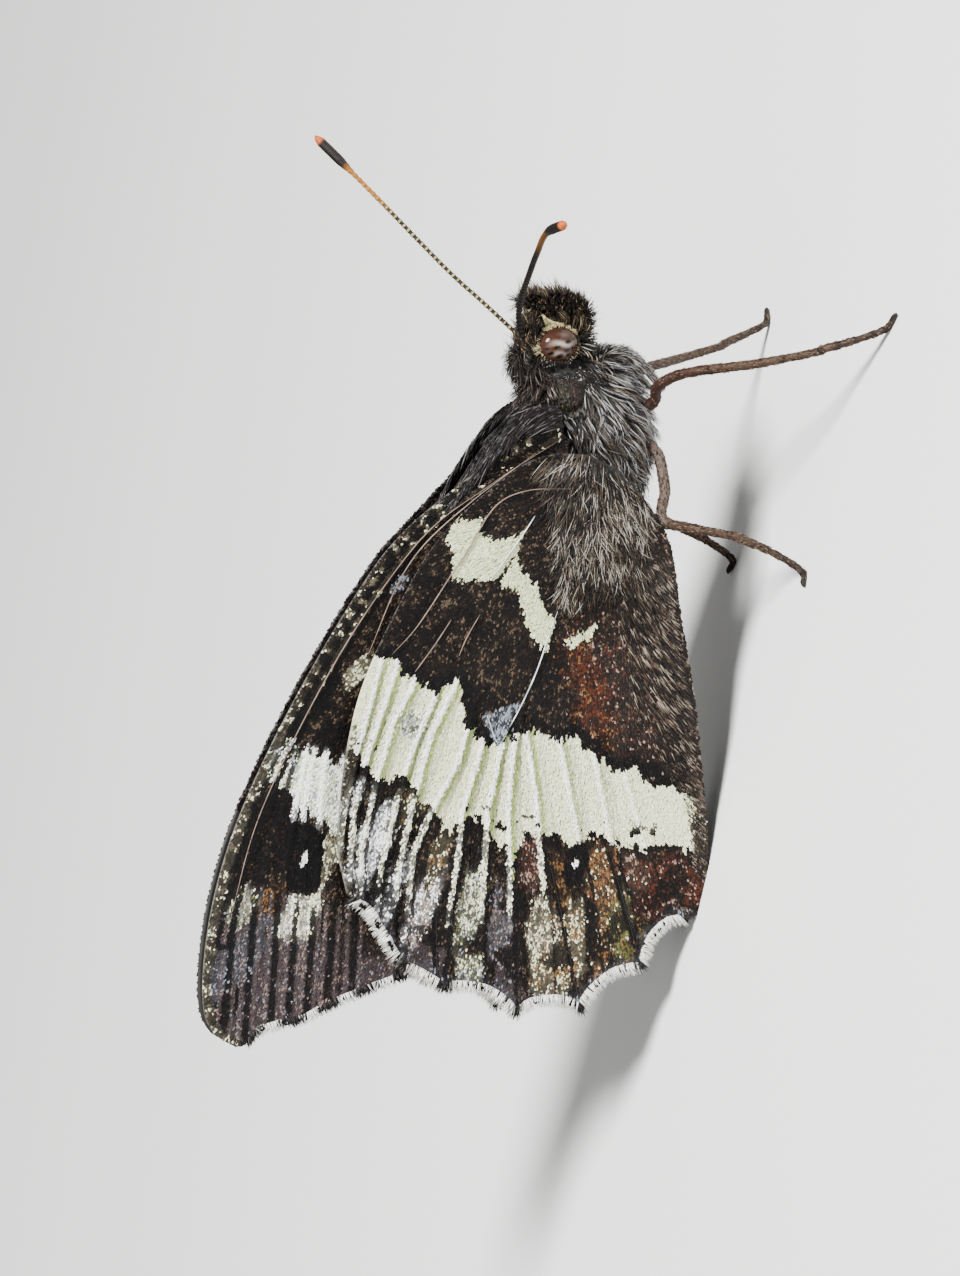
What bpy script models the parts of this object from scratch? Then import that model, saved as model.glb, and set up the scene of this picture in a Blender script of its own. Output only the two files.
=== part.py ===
"""Great banded grayling (Brintesia circe) at rest with its wings closed over its back.

The row frame has +Z up, the animal faces -Y and its right side is at -X. The middle plane of the
body is X = 0 and the floor is Z = 0. Lengths below are millimetres; finish_node scales each mesh
to metres. Side-view places are (back, up) pairs, which are the Y and Z of the row frame.
"""
import math
import random

import bmesh
import bpy
import numpy as np
from mathutils import Matrix, Vector
from mathutils.bvhtree import BVHTree
from mathutils.geometry import delaunay_2d_cdt

MM = 0.001
GAP = 0.3
SEED = 4

# Body: one straight axis that climbs towards the head, with the thorax centre as its zero.
BODY_PITCH = math.radians(29.0)
THORAX_CENTRE = (-12.4, 12.4)
THORAX_HALF = (1.7, 4.0, 3.2)
HEAD_ALONG = -4.8
HEAD_UP = 0.6
HEAD_HALF = (1.25, 1.55, 1.8)
EYE_PLACE = (-0.2, -0.05, 1.2)
EYE_HALF = (0.72, 0.93, 1.09)
EYE_GAP = 0.2
ABDOMEN_START = 2.6
ABDOMEN_LENGTH = 17.3
ABDOMEN_HALF = (1.45, 1.6)
ABDOMEN_SEGMENTS = 8

# Wings: thickness of the membrane and the distance of each wing from the middle plane.
WING_THICK = 0.5
FOREWING_SIDE = 0.52
WING_STEP = 0.92
WING_BASE_SIDE = 1.9
WING_BASE_REACH = 6.0
WING_FLAT_REACH = 12.0
ABDOMEN_BULGE = 0.75
ABDOMEN_BULGE_HALF = 2.2

FOREWING_COSTA = [(-12.2, 14.6), (-11.2, 16.8), (-9.1, 18.1), (-4.7, 21.1), (-1.6, 22.6), (5.2, 24.8),
                  (11.8, 26.3), (17.0, 26.7), (21.6, 26.2)]
FOREWING_TIP = [(23.9, 25.2), (24.6, 23.4)]
FOREWING_OUTER = [(22.8, 20.0), (20.0, 16.1), (16.6, 10.3), (12.6, 5.9)]
FOREWING_INNER = [(11.4, 5.6), (3.0, 8.6), (-4.0, 11.4), (-9.6, 13.0), (-11.6, 13.9)]

HINDWING_COSTA = [(-11.0, 12.9), (-10.6, 14.6), (-9.5, 16.3), (-6.4, 18.6), (-2.2, 20.3), (4.8, 21.7),
                  (11.9, 21.1), (15.1, 19.8)]
HINDWING_TEETH = [(15.1, 19.8), (18.7, 16.2), (19.5, 13.3), (20.1, 8.9), (19.0, 5.0), (15.8, 1.9),
                  (12.2, 0.0)]
HINDWING_SAGS = [0.0, 0.15, 0.75, 0.75, 0.75, 0.75]
HINDWING_FLAT = [(12.2, 0.0), (9.2, 0.0)]
HINDWING_ANAL = [(9.2, 0.0), (5.8, 1.1), (-1.7, 4.1), (-6.8, 6.6), (-9.0, 8.6), (-10.6, 11.0)]

# Main veins of each wing, raised as ridges in the membrane on both faces.
RIDGE_HEIGHT = 0.12
RIDGE_INNER_HEIGHT = 0.06
RIDGE_HALF = 0.32
VEIN_STEP = 2.3
VEIN_CLEARANCE = 0.55
MEMBRANE_GRID = 3.0
FOREWING_STEMS = [[(-10.8, 15.0), (-8.0, 17.5), (-1.0, 21.5), (7.1, 24.2), (15.7, 25.5), (22.6, 25.0)],
                  [(-10.2, 14.3), (-3.0, 16.2), (4.5, 18.2), (8.0, 20.3)],
                  [(-9.8, 13.6), (-2.0, 12.4), (7.0, 9.0), (12.4, 6.8)]]
FOREWING_CELL_END = [(5.0, 23.3), (8.0, 20.3), (5.5, 17.8), (2.0, 16.6)]
FOREWING_FAN = [(24.0, 23.4), (23.6, 21.6), (22.6, 19.8), (21.2, 18.0), (19.2, 15.2), (17.0, 11.5),
                (14.6, 8.5)]
HINDWING_VEINS = [[(-9.9, 14.2), (-6.6, 16.9), (-0.6, 19.4), (8.6, 20.4), (13.6, 19.7)],
                  [(-8.9, 13.0), (-5.4, 14.9), (2.5, 17.5), (14.6, 18.9)],
                  [(-5.4, 14.9), (1.9, 15.2), (10.1, 15.8), (18.2, 15.8)],
                  [(-0.3, 14.4), (4.5, 14.2), (11.4, 13.6), (19.0, 12.8)],
                  [(4.8, 12.2), (9.9, 11.5), (14.3, 10.3), (19.6, 8.8)],
                  [(3.1, 11.6), (9.4, 8.7), (18.6, 5.0)],
                  [(0.1, 11.2), (7.9, 5.3), (15.2, 1.9)],
                  [(-6.4, 10.4), (6.2, 3.8), (12.0, 0.8)],
                  [(-7.6, 11.8), (0.1, 11.2), (3.1, 11.6), (4.8, 12.2)]]

# Coat: flat tapered locks; each is a chain of stations with shares of its width and thickness.
LOCK_STATIONS = [(0.0, 0.8, 1.0), (0.35, 1.0, 1.0), (0.72, 0.7, 0.7)]
LOCK_TRIES = (1.0, 0.78, 0.58)
LOCK_SINK = 0.4
LOCK_THICK = 0.5
LOCK_CLEARANCE = 0.24
THORAX_LOCK_ROWS = [-3.3, -2.35, -1.2, 0.0, 1.3, 2.6]
THORAX_LOCK_SPACING = 1.2
THORAX_LOCK = (2.35, 1.2)
HEAD_LOCK_RINGS = [(78, 3), (52, 7), (26, 9), (2, 10), (-24, 8)]
HEAD_LOCK = (1.25, 0.72)
# A brush is the size of its locks, their turns in degrees from the limb's front, and their lift.
BRUSH_STEP = 0.82
PALP_BRUSH = ((1.35, 0.75), (-8, 48), 0.38)
FORELEG_BRUSH = ((1.3, 0.7), (-20, 50), 0.45)
WING_LOCK = (2.8, 1.05)
WING_LOCK_ROWS = [(1.9, 1.9, -0.4, 3), (3.6, 1.8, -1.9, 4), (5.6, 1.6, -2.0, 4), (7.8, 1.3, -1.8, 3)]

# Legs: lateral distance, back and up of each joint, then the radius there.
MIDLEG = [(1.5, -14.8, 9.3, 0.33), (2.5, -15.6, 9.6, 0.34), (3.8, -16.6, 8.6, 0.3),
          (6.5, -17.9, 5.7, 0.27), (8.0, -19.3, 3.0, 0.26), (9.0, -20.3, 1.4, 0.26),
          (9.7, -21.2, 0.2, 0.26), (10.3, -21.9, 0.16, 0.24)]
HINDLEG = [(1.5, -11.9, 8.3, 0.33), (2.3, -10.2, 7.8, 0.32), (3.2, -8.6, 7.8, 0.3),
           (4.0, -8.5, 6.1, 0.27), (4.7, -8.6, 4.1, 0.27), (5.3, -8.2, 1.9, 0.26),
           (5.8, -7.6, 0.2, 0.26), (6.2, -7.0, 0.16, 0.24)]
FORELEG = [(0.95, -16.6, 12.6, 0.3), (1.15, -16.9, 11.6, 0.3), (1.2, -16.5, 10.4, 0.28),
           (1.1, -15.7, 9.2, 0.2)]

# Where the limbs grow from: (along, up, side) inside the thorax or the head, and the stub's radius.
COXAE = {"fore": (-2.5, -1.5, 0.6, 0.45), "mid": (-0.6, -1.6, 0.7, 0.6), "hind": (1.4, -1.6, 0.7, 0.6)}
SOCKET = (-0.6, 0.8, 0.3, 0.3)
PALP_ROOT = (-0.4, -1.0, 0.5, 0.28)
WING_HINGE = (1.6, 0.9, 1.6)
WING_HINGE_HALF = (0.85, 0.8, 0.6)

# The row's origin lies under the middle of the animal's box, which the right antenna widens.
ORIGIN_SIDE = -2.3

# Antennae: the left one lies along the picture, the right one points out to the side.
ANTENNA_LEFT = [(0.6, -16.7, 17.4), (1.3, -17.8, 19.2), (2.1, -19.2, 21.6), (3.7, -22.4, 26.4),
                (5.0, -24.6, 29.8)]
ANTENNA_RIGHT = [(0.85, -16.8, 17.5), (1.8, -17.5, 18.05), (3.2, -18.3, 18.55), (6.2, -19.65, 19.3),
                 (9.0, -20.5, 20.0), (12.0, -21.4, 20.65), (14.8, -21.9, 20.6)]
ANTENNA_RADIUS = 0.25
CLUB_RADIUS = 0.34
CLUB_SHARE = 0.2

# Palps curve up in front of the face: (along, up) in the body's own axes from the head's centre.
PALP_SIDE = 0.66
PALP_PATH = [(-0.7, -2.0), (-1.5, -2.2), (-2.15, -1.65), (-2.4, -0.85), (-2.5, 0.0), (-2.75, 0.7),
             (-3.1, 1.2)]
PALP_TAPER = [0.7, 0.85, 1.05, 1.15, 1.1, 0.85, 0.45]
PALP_RADIUS = 0.36


def body_point(along, up, side=0.0):
    """Place a point given along the body's axis (to the tail), up from it and to the left."""
    back = THORAX_CENTRE[0] + along * math.cos(BODY_PITCH) + up * math.sin(BODY_PITCH)
    height = THORAX_CENTRE[1] - along * math.sin(BODY_PITCH) + up * math.cos(BODY_PITCH)
    return Vector((side, back, height))


def body_axes(back, height):
    """Return a side-view place as (along, up) in the body's own axes."""
    dy = back - THORAX_CENTRE[0]
    dz = height - THORAX_CENTRE[1]
    along = dy * math.cos(BODY_PITCH) - dz * math.sin(BODY_PITCH)
    up = dy * math.sin(BODY_PITCH) + dz * math.cos(BODY_PITCH)
    return along, up


BODY_TURN = Matrix.Rotation(-BODY_PITCH, 3, "X")


def smoothstep(value):
    """Ease from 0 to 1 as value goes from 0 to 1."""
    value = min(max(value, 0.0), 1.0)
    return value * value * (3.0 - 2.0 * value)


def smooth_path(points, spacing):
    """Sample a Catmull-Rom curve through the points about every `spacing` millimetres."""
    knots = [np.array(p, float) for p in points]
    knots = [2 * knots[0] - knots[1]] + knots + [2 * knots[-1] - knots[-2]]
    samples = []
    for a, b, c, d in zip(knots, knots[1:], knots[2:], knots[3:]):
        count = max(1, round(np.linalg.norm(c[:2] - b[:2]) / spacing))
        if len(b) > 2:
            count = max(1, round(np.linalg.norm(c[:3] - b[:3]) / spacing))
        for step in range(count):
            t = step / count
            samples.append(0.5 * (2 * b + (c - a) * t + (2 * a - 5 * b + 4 * c - d) * t * t
                                  + (3 * b - a - 3 * c + d) * t ** 3))
    samples.append(knots[-2])
    return samples


def mesh_object(name, mesh_builder):
    """Link a new object whose mesh comes from a bmesh."""
    bmesh.ops.recalc_face_normals(mesh_builder, faces=mesh_builder.faces)
    mesh = bpy.data.meshes.new(name)
    mesh_builder.to_mesh(mesh)
    mesh_builder.free()
    obj = bpy.data.objects.new(name, mesh)
    bpy.context.scene.collection.objects.link(obj)
    return obj


def ellipsoid(name, centre, half, turn=None, segments=20, rings=12):
    """Make a closed ellipsoid with the given half sizes."""
    builder = bmesh.new()
    bmesh.ops.create_uvsphere(builder, u_segments=segments, v_segments=rings, radius=1.0)
    for vert in builder.verts:
        place = Vector((vert.co.x * half[0], vert.co.y * half[1], vert.co.z * half[2]))
        vert.co = Vector(centre) + (turn @ place if turn else place)
    return mesh_object(name, builder)


def tube(name, rows, sides, spacing, flat_floor=False):
    """Make a closed tube through rows of (x, y, z, radius); it may be trimmed flat at the floor."""
    stations = smooth_path(rows, spacing)
    centres = [Vector(row[:3]) for row in stations]
    builder = bmesh.new()
    rings = []
    across = Vector((1.0, 0.0, 0.0))
    for index, row in enumerate(stations):
        ahead = centres[min(index + 1, len(centres) - 1)]
        behind = centres[max(index - 1, 0)]
        heading = (ahead - behind).normalized()
        across = (across - heading * across.dot(heading)).normalized()
        second = heading.cross(across)
        ring = []
        for step in range(sides):
            angle = 2 * math.pi * (step + 0.5) / sides
            offset = across * math.cos(angle) + second * math.sin(angle)
            place = centres[index] + offset * row[3]
            if flat_floor:
                place.z = max(place.z, 0.0)
            ring.append(builder.verts.new(place))
        rings.append(ring)
    for ring, following in zip(rings, rings[1:]):
        for step in range(sides):
            after = (step + 1) % sides
            builder.faces.new((ring[step], ring[after], following[after], following[step]))
    builder.faces.new(rings[0])
    builder.faces.new(rings[-1])
    return mesh_object(name, builder)


def join_by(operation, name, base, pieces):
    """Apply one Boolean of a collection of pieces to the base, then remove those pieces."""
    collection = bpy.data.collections.new(name + "_pieces")
    bpy.context.scene.collection.children.link(collection)
    for piece in pieces:
        bpy.context.scene.collection.objects.unlink(piece)
        collection.objects.link(piece)
    modifier = base.modifiers.new("join", "BOOLEAN")
    modifier.operation = operation
    modifier.operand_type = "COLLECTION"
    modifier.collection = collection
    for solver in ("MANIFOLD", "EXACT"):
        modifier.solver = solver
        graph = bpy.context.evaluated_depsgraph_get()
        joined = bpy.data.meshes.new_from_object(base.evaluated_get(graph))
        if keep_largest(joined):
            break
    base.modifiers.clear()
    base.data = joined
    for piece in pieces:
        bpy.data.objects.remove(piece)
    bpy.data.collections.remove(collection)
    return base


def keep_largest(mesh):
    """Keep only the connected surface with the most faces, and tell whether it is closed."""
    builder = bmesh.new()
    builder.from_mesh(mesh)
    unseen = set(builder.faces)
    groups = []
    while unseen:
        stack = [unseen.pop()]
        group = set(stack)
        while stack:
            for edge in stack.pop().edges:
                for face in edge.link_faces:
                    if face in unseen:
                        unseen.discard(face)
                        group.add(face)
                        stack.append(face)
        groups.append(group)
    groups.sort(key=len)
    scraps = [face for group in groups[:-1] for face in group]
    bmesh.ops.delete(builder, geom=scraps, context="FACES")
    bmesh.ops.triangulate(builder, faces=builder.faces)
    closed = all(len(edge.link_faces) == 2 for edge in builder.edges)
    builder.to_mesh(mesh)
    builder.free()
    return closed


SOLIDS = {}


def search_tree(obj):
    """Return a search tree of a mesh's surface, in millimetres."""
    corners = [vert.co.copy() for vert in obj.data.vertices]
    return BVHTree.FromPolygons(corners, [tuple(face.vertices) for face in obj.data.polygons])


def keep_core_clear(name, centre, half):
    """Add a core that is made later to what the locks must clear."""
    core = ellipsoid(name, centre, half, BODY_TURN)
    SOLIDS[name] = search_tree(core)
    bpy.data.objects.remove(core)


def fits(piece):
    """Tell whether a piece keeps clear of every solid made so far."""
    tree = search_tree(piece)
    corners = [vert.co for vert in piece.data.vertices]
    middles = [(corners[edge.vertices[0]] + corners[edge.vertices[1]]) / 2 for edge in piece.data.edges]
    for solid in SOLIDS.values():
        if tree.overlap(solid):
            return False
        for place in corners + middles:
            if solid.find_nearest(place, LOCK_CLEARANCE)[0] is not None:
                return False
    return True


def fitted_lock(root, heading, normal, size, lift, sweep):
    """Make a lock, shorter if it must be to clear the other nodes, or none where none fits."""
    for share in LOCK_TRIES:
        piece = lock(root, heading, normal, (size[0] * share, size[1]), lift, sweep)
        if fits(piece):
            return [piece]
        bpy.data.objects.remove(piece)
    return []


def lock(root, heading, normal, size, lift, sweep):
    """Make one flat tapered lock that leaves its root along a heading and bends as it goes."""
    length, width = size
    heading = (heading - normal * heading.dot(normal)).normalized()
    across = heading.cross(normal)
    builder = bmesh.new()
    rings = []
    places = []
    for share, wide, thick in LOCK_STATIONS + [(1.0, 0.0, 0.0)]:
        place = root + heading * (length * share) + across * (sweep * length * share ** 2)
        place = place + normal * (lift * length * share * (1.0 - 0.45 * share))
        place = place - normal * (LOCK_SINK * (1.0 - share) ** 3)
        places.append(place)
        if wide > 0.0:
            out = across * (width * wide / 2)
            rise = normal * (LOCK_THICK * thick / 2)
            ring = [place + out, place + rise, place - out, place - rise]
            rings.append([builder.verts.new(corner) for corner in ring])
    tip = builder.verts.new(places[-1])
    for ring, following in zip(rings, rings[1:]):
        for step in range(4):
            after = (step + 1) % 4
            builder.faces.new((ring[step], ring[after], following[after], following[step]))
    for step in range(4):
        builder.faces.new((rings[-1][step], rings[-1][(step + 1) % 4], tip))
    builder.faces.new(rings[0])
    return mesh_object("lock", builder)


def finish_node(obj, colour, roughness):
    """Scale the mesh to metres, give it a material and shade it smooth."""
    SOLIDS[obj.name] = search_tree(obj)
    obj.data.transform(Matrix.Scale(MM, 4) @ Matrix.Translation((-ORIGIN_SIDE, 0.0, 0.0)))
    material = bpy.data.materials.new(obj.name + "_material")
    material.use_nodes = True
    shader = material.node_tree.nodes["Principled BSDF"]
    shader.inputs["Base Color"].default_value = (*colour, 1.0)
    shader.inputs["Roughness"].default_value = roughness
    shader.inputs["Metallic"].default_value = 0.0
    material.diffuse_color = (*colour, 1.0)
    obj.data.materials.clear()
    obj.data.materials.append(material)
    obj.data.shade_smooth()
    obj.data.set_sharp_from_angle(angle=math.radians(40.0))
    return obj


def forewing_side(back, height):
    """Distance of the forewing's middle surface from the body's middle plane."""
    reach = math.hypot(back - THORAX_CENTRE[0], height - THORAX_CENTRE[1])
    spread = smoothstep((WING_FLAT_REACH - reach) / (WING_FLAT_REACH - WING_BASE_REACH))
    return FOREWING_SIDE + (WING_BASE_SIDE - FOREWING_SIDE) * spread


def hindwing_side(back, height):
    """Distance of the hindwing's middle surface, outside the forewing and round the abdomen."""
    along, up = body_axes(back, height)
    end = ABDOMEN_START + ABDOMEN_LENGTH
    beside = smoothstep((end + 2.0 - along) / 6.0)
    bulge = ABDOMEN_BULGE * beside * math.exp(-(up / ABDOMEN_BULGE_HALF) ** 2)
    return forewing_side(back, height) + WING_STEP + bulge


def scalloped(teeth, sags, spacing):
    """Join the teeth of a wing's margin by shallow arcs that each sag towards the wing by their own depth."""
    samples = []
    for start, end, sag in zip(teeth, teeth[1:], sags):
        start = np.array(start)
        end = np.array(end)
        length = np.linalg.norm(end - start)
        inward = np.array((start[1] - end[1], end[0] - start[0])) / -length
        count = max(2, round(length / spacing))
        depth = sag * min(1.0, length / 4.0)
        for step in range(count):
            t = step / count
            samples.append(start + (end - start) * t + inward * depth * math.sin(math.pi * t))
    samples.append(np.array(teeth[-1]))
    return samples


def line_distance(place, start, end):
    """Return the distance of a flat place from a straight line between two others."""
    run = end - start
    share = min(max((place - start).dot(run) / max(run.length_squared, 1e-9), 0.0), 1.0)
    return (place - start - run * share).length


def wing_layout(outline, veins):
    """Lay out a wing's flat points: outline, vein crests, their feet and a sparse fill."""
    border = [Vector((float(p[0]), float(p[1]))) for p in outline]
    count = len(border)
    edges = [(i, (i + 1) % count) for i in range(count)]
    places = list(border)
    crests = {}
    runs = []
    for vein in veins:
        path = [Vector((float(p[0]), float(p[1]))) for p in smooth_path(vein, VEIN_STEP)]
        previous = None
        for step, place in enumerate(path):
            current = next((i for i in crests if (places[i] - place).length < VEIN_CLEARANCE), None)
            if current is None:
                if not inside_outline(place, border) or not clear_of(place, border, VEIN_CLEARANCE):
                    previous = None
                    continue
                current = len(places)
                crests[current] = 1.0 - 0.4 * step / len(path)
                places.append(place)
            if previous is not None and previous != current:
                edges.append((previous, current))
                runs.append((places[previous], places[current]))
            previous = current
    linked = {index for edge in edges[count:] for index in edge}
    crests = {index: height for index, height in crests.items() if index in linked}
    border_runs = [(border[a], border[b]) for a, b in edges[:count]]
    feet = []
    for start, end in runs:
        across = Vector((start.y - end.y, end.x - start.x)).normalized() * RIDGE_HALF
        for middle in (start, end):
            for foot in (middle + across, middle - across):
                gap = min(line_distance(foot, *run) for run in runs + border_runs)
                if gap > RIDGE_HALF * 0.8 and inside_outline(foot, border):
                    if clear_of(foot, feet, RIDGE_HALF):
                        feet.append(foot)
    places += feet
    lows = np.min([tuple(p) for p in border], axis=0)
    highs = np.max([tuple(p) for p in border], axis=0)
    for row in range(int((highs[1] - lows[1]) / (MEMBRANE_GRID * 0.86))):
        for column in range(int((highs[0] - lows[0]) / MEMBRANE_GRID)):
            place = Vector((lows[0] + (column + 0.5 * (row % 2)) * MEMBRANE_GRID,
                            lows[1] + (row + 0.5) * MEMBRANE_GRID * 0.86))
            if inside_outline(place, border) and clear_of(place, places, MEMBRANE_GRID * 0.45):
                places.append(place)
    return places, edges, crests, count


def wing(name, outline, veins, side_of, sign):
    """Make a wing as a thin closed sheet, cut into the same triangles on both faces."""
    places, edges, crests, count = wing_layout(outline, veins)
    result = delaunay_2d_cdt(places, edges, [list(range(count))], 1, 1e-6)
    flat, triangles, origins = result[0], result[2], result[3]
    builder = bmesh.new()
    outer = []
    inner = []
    for place, origin in zip(flat, origins):
        side = side_of(place.x, place.y)
        crest = max([crests.get(index, 0.0) for index in origin] + [0.0])
        outward = side + WING_THICK / 2 + RIDGE_HEIGHT * crest
        inward = side - WING_THICK / 2 - RIDGE_INNER_HEIGHT * crest
        outer.append(builder.verts.new((sign * outward, place.x, place.y)))
        inner.append(builder.verts.new((sign * inward, place.x, place.y)))
    borders = set()
    for triangle in triangles:
        a, b, c = triangle
        builder.faces.new((outer[a], outer[b], outer[c]))
        builder.faces.new((inner[c], inner[b], inner[a]))
        for start, end in ((a, b), (b, c), (c, a)):
            if (end, start) in borders:
                borders.discard((end, start))
            else:
                borders.add((start, end))
    for start, end in sorted(borders):
        builder.faces.new((outer[end], outer[start], inner[start], inner[end]))
    bmesh.ops.triangulate(builder, faces=[f for f in builder.faces if len(f.verts) > 3])
    return mesh_object(name, builder)


def inside_outline(place, outline):
    """Tell whether a place lies inside a closed outline."""
    inside = False
    for a, b in zip(outline, outline[1:] + outline[:1]):
        if (a.y > place.y) != (b.y > place.y):
            cross = a.x + (place.y - a.y) / (b.y - a.y) * (b.x - a.x)
            if place.x < cross:
                inside = not inside
    return inside


def clear_of(place, others, distance):
    """Tell whether a place is at least a distance from every other place."""
    return all((place - other).length > distance for other in others)


def forewing_outline():
    """Return the forewing's outline: costa, tip, outer margin and inner margin."""
    return smooth_path(FOREWING_COSTA + FOREWING_TIP + FOREWING_OUTER + FOREWING_INNER, 1.3)


def hindwing_outline():
    """Return the hindwing's outline: costa, scalloped margin, resting edge and anal edge."""
    costa = smooth_path(HINDWING_COSTA, 1.3)
    margin = scalloped(HINDWING_TEETH, HINDWING_SAGS, 0.8)
    rest = smooth_path(HINDWING_FLAT, 1.0)
    anal = smooth_path(HINDWING_ANAL, 1.3)
    return costa[:-1] + margin[:-1] + rest[:-1] + anal


def head_centre():
    """Return the head's centre in the middle plane."""
    return body_point(HEAD_ALONG, HEAD_UP)


def leg_rows(rows, sign):
    """Return leg rows with their lateral distances on one side."""
    return [(sign * row[0], row[1], row[2], row[3]) for row in rows]


def root_stub(name, rows, inner, radius):
    """Make the stub that grows from the body and meets a limb face to face, a gap short of it."""
    start = Vector(rows[0][:3])
    heading = (Vector(rows[1][:3]) - start).normalized()
    end = start - heading * GAP
    middle = end - heading * radius
    root = (*inner, radius)
    return tube(name, [root, (*middle, radius), (*end, rows[0][3])], 8, 0.6)


def antenna_rows(points, sign):
    """Return antenna rows whose radius grows into a club near the tip."""
    path = smooth_path([(sign * p[0], p[1], p[2]) for p in points], 1.0)
    rows = []
    for index, place in enumerate(path):
        share = index / (len(path) - 1)
        club = smoothstep((share - 1.0 + CLUB_SHARE) / (CLUB_SHARE * 0.6))
        radius = ANTENNA_RADIUS + (CLUB_RADIUS - ANTENNA_RADIUS) * club
        if share > 0.97:
            radius *= 0.6
        rows.append((*place, radius))
    return rows


def palp_rows(sign):
    """Return the rows of one palp, thick in the middle and pointed at its tip."""
    rows = []
    for (along, up), factor in zip(PALP_PATH, PALP_TAPER):
        place = body_point(HEAD_ALONG + along, HEAD_UP + up, sign * PALP_SIDE)
        rows.append((*place, PALP_RADIUS * factor))
    return rows


def thorax_locks():
    """Set the thorax's locks in rings round it, lying back along the body."""
    tailward = body_point(1.0, 0.0) - body_point(0.0, 0.0)
    upward = body_point(0.0, 1.0) - body_point(0.0, 0.0)
    locks = []
    for row, along in enumerate(THORAX_LOCK_ROWS):
        waist = math.sqrt(1.0 - (along / THORAX_HALF[1]) ** 2)
        girth = math.pi * (THORAX_HALF[0] + THORAX_HALF[2]) * waist
        count = max(5, round(girth / THORAX_LOCK_SPACING))
        for step in range(count):
            angle = 2 * math.pi * (step + 0.5 * (row % 2) + random.uniform(-0.2, 0.2)) / count
            side = THORAX_HALF[0] * waist * math.sin(angle)
            up = THORAX_HALF[2] * waist * math.cos(angle)
            root = body_point(along, up, side)
            normal = Vector((side / THORAX_HALF[0] ** 2, 0.0, 0.0)) + upward * (up / THORAX_HALF[2] ** 2)
            normal = (normal + tailward * (along / THORAX_HALF[1] ** 2)).normalized()
            below = max(0.0, -math.cos(angle))
            collar = max(0.0, math.cos(angle)) * max(0.0, -along / THORAX_HALF[1])
            heading = tailward + Vector((0.0, 0.0, -0.25)) * below
            length = THORAX_LOCK[0] * random.uniform(0.85, 1.15)
            size = (length, THORAX_LOCK[1] * random.uniform(0.9, 1.1))
            lift = 0.3 + 0.25 * below + 0.15 * collar + random.uniform(-0.05, 0.05)
            locks += fitted_lock(root, heading, normal, size, lift, random.uniform(-0.2, 0.2))
    return locks


def make_thorax():
    """Thorax: an egg-shaped core with the stubs that the legs meet, under a coat of locks."""
    core = ellipsoid("thorax", body_point(0.0, 0.0), THORAX_HALF, BODY_TURN, 20, 14)
    pieces = []
    for sign in (-1, 1):
        for kind, rows in (("mid", MIDLEG), ("hind", HINDLEG), ("fore", FORELEG)):
            along, up, side, radius = COXAE[kind]
            root = body_point(along, up, sign * side)
            pieces.append(root_stub("coxa_" + kind, leg_rows(rows, sign), root, radius))
        along, up, side = WING_HINGE
        hinge = body_point(along, up, sign * side)
        pieces.append(ellipsoid("hinge", hinge, WING_HINGE_HALF, BODY_TURN, 10, 6))
    pieces += thorax_locks()
    join_by("UNION", "thorax", core, pieces)
    room = tuple(half + GAP for half in HEAD_HALF)
    head_room = ellipsoid("head_room", head_centre(), room, BODY_TURN, 24, 16)
    join_by("DIFFERENCE", "thorax", core, [head_room])
    return finish_node(core, (0.32, 0.29, 0.25), 0.9)


def abdomen_rows():
    """Return the abdomen's rows of centre and radius, swollen a little at each segment."""
    rows = []
    count = ABDOMEN_SEGMENTS * 2
    for index in range(count + 1):
        share = index / count
        along = ABDOMEN_START + share * ABDOMEN_LENGTH
        taper = math.sqrt(max(0.0, 1.0 - share ** 5)) * (1.0 - 0.25 * share)
        swell = 1.0 + 0.03 * (index % 2)
        place = body_point(along, 0.0)
        radius = max(0.25, ABDOMEN_HALF[1] * taper * swell)
        rows.append((*place, radius))
    return rows


def make_abdomen():
    """Abdomen: a tapering tube, a little narrower than it is deep."""
    obj = tube("abdomen", abdomen_rows(), 12, 1.1)
    squeeze = ABDOMEN_HALF[0] / ABDOMEN_HALF[1]
    obj.data.transform(Matrix.Diagonal((squeeze, 1.0, 1.0, 1.0)))
    room = tuple(half + GAP for half in THORAX_HALF)
    thorax_room = ellipsoid("thorax_room", body_point(0.0, 0.0), room, BODY_TURN, 24, 16)
    join_by("DIFFERENCE", "abdomen", obj, [thorax_room])
    return finish_node(obj, (0.2, 0.17, 0.14), 0.9)


def head_locks():
    """Set the head's locks: a bristly forehead and crown, and shorter ones behind and below."""
    ahead = body_point(-1.0, 0.0) - body_point(0.0, 0.0)
    upward = body_point(0.0, 1.0) - body_point(0.0, 0.0)
    locks = []
    for ring, (lean, count) in enumerate(HEAD_LOCK_RINGS):
        for step in range(count):
            turn = math.radians(360 * (step + 0.5 * (ring % 2)) / count)
            tilt = math.radians(lean)
            forward = math.sin(tilt)
            side = math.cos(tilt) * math.sin(turn)
            up = math.cos(tilt) * math.cos(turn)
            if up < 0.0 and forward < 0.1:
                continue
            root = body_point(HEAD_ALONG - forward * HEAD_HALF[1], HEAD_UP + up * HEAD_HALF[2],
                              side * HEAD_HALF[0])
            normal = ahead * (forward / HEAD_HALF[1]) + upward * (up / HEAD_HALF[2])
            normal += Vector((side / HEAD_HALF[0], 0.0, 0.0))
            normal.normalize()
            face = smoothstep((lean + 10) / 60) if up > -0.6 else 0.0
            heading = ahead * (2.0 * face - 0.8) + upward * (0.3 + 0.4 * up)
            size = (HEAD_LOCK[0] * (0.8 + 0.45 * face) * random.uniform(0.9, 1.1), HEAD_LOCK[1])
            lift = 0.45 + 0.5 * face
            locks += fitted_lock(root, heading, normal, size, lift, random.uniform(-0.15, 0.15))
    return locks


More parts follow.
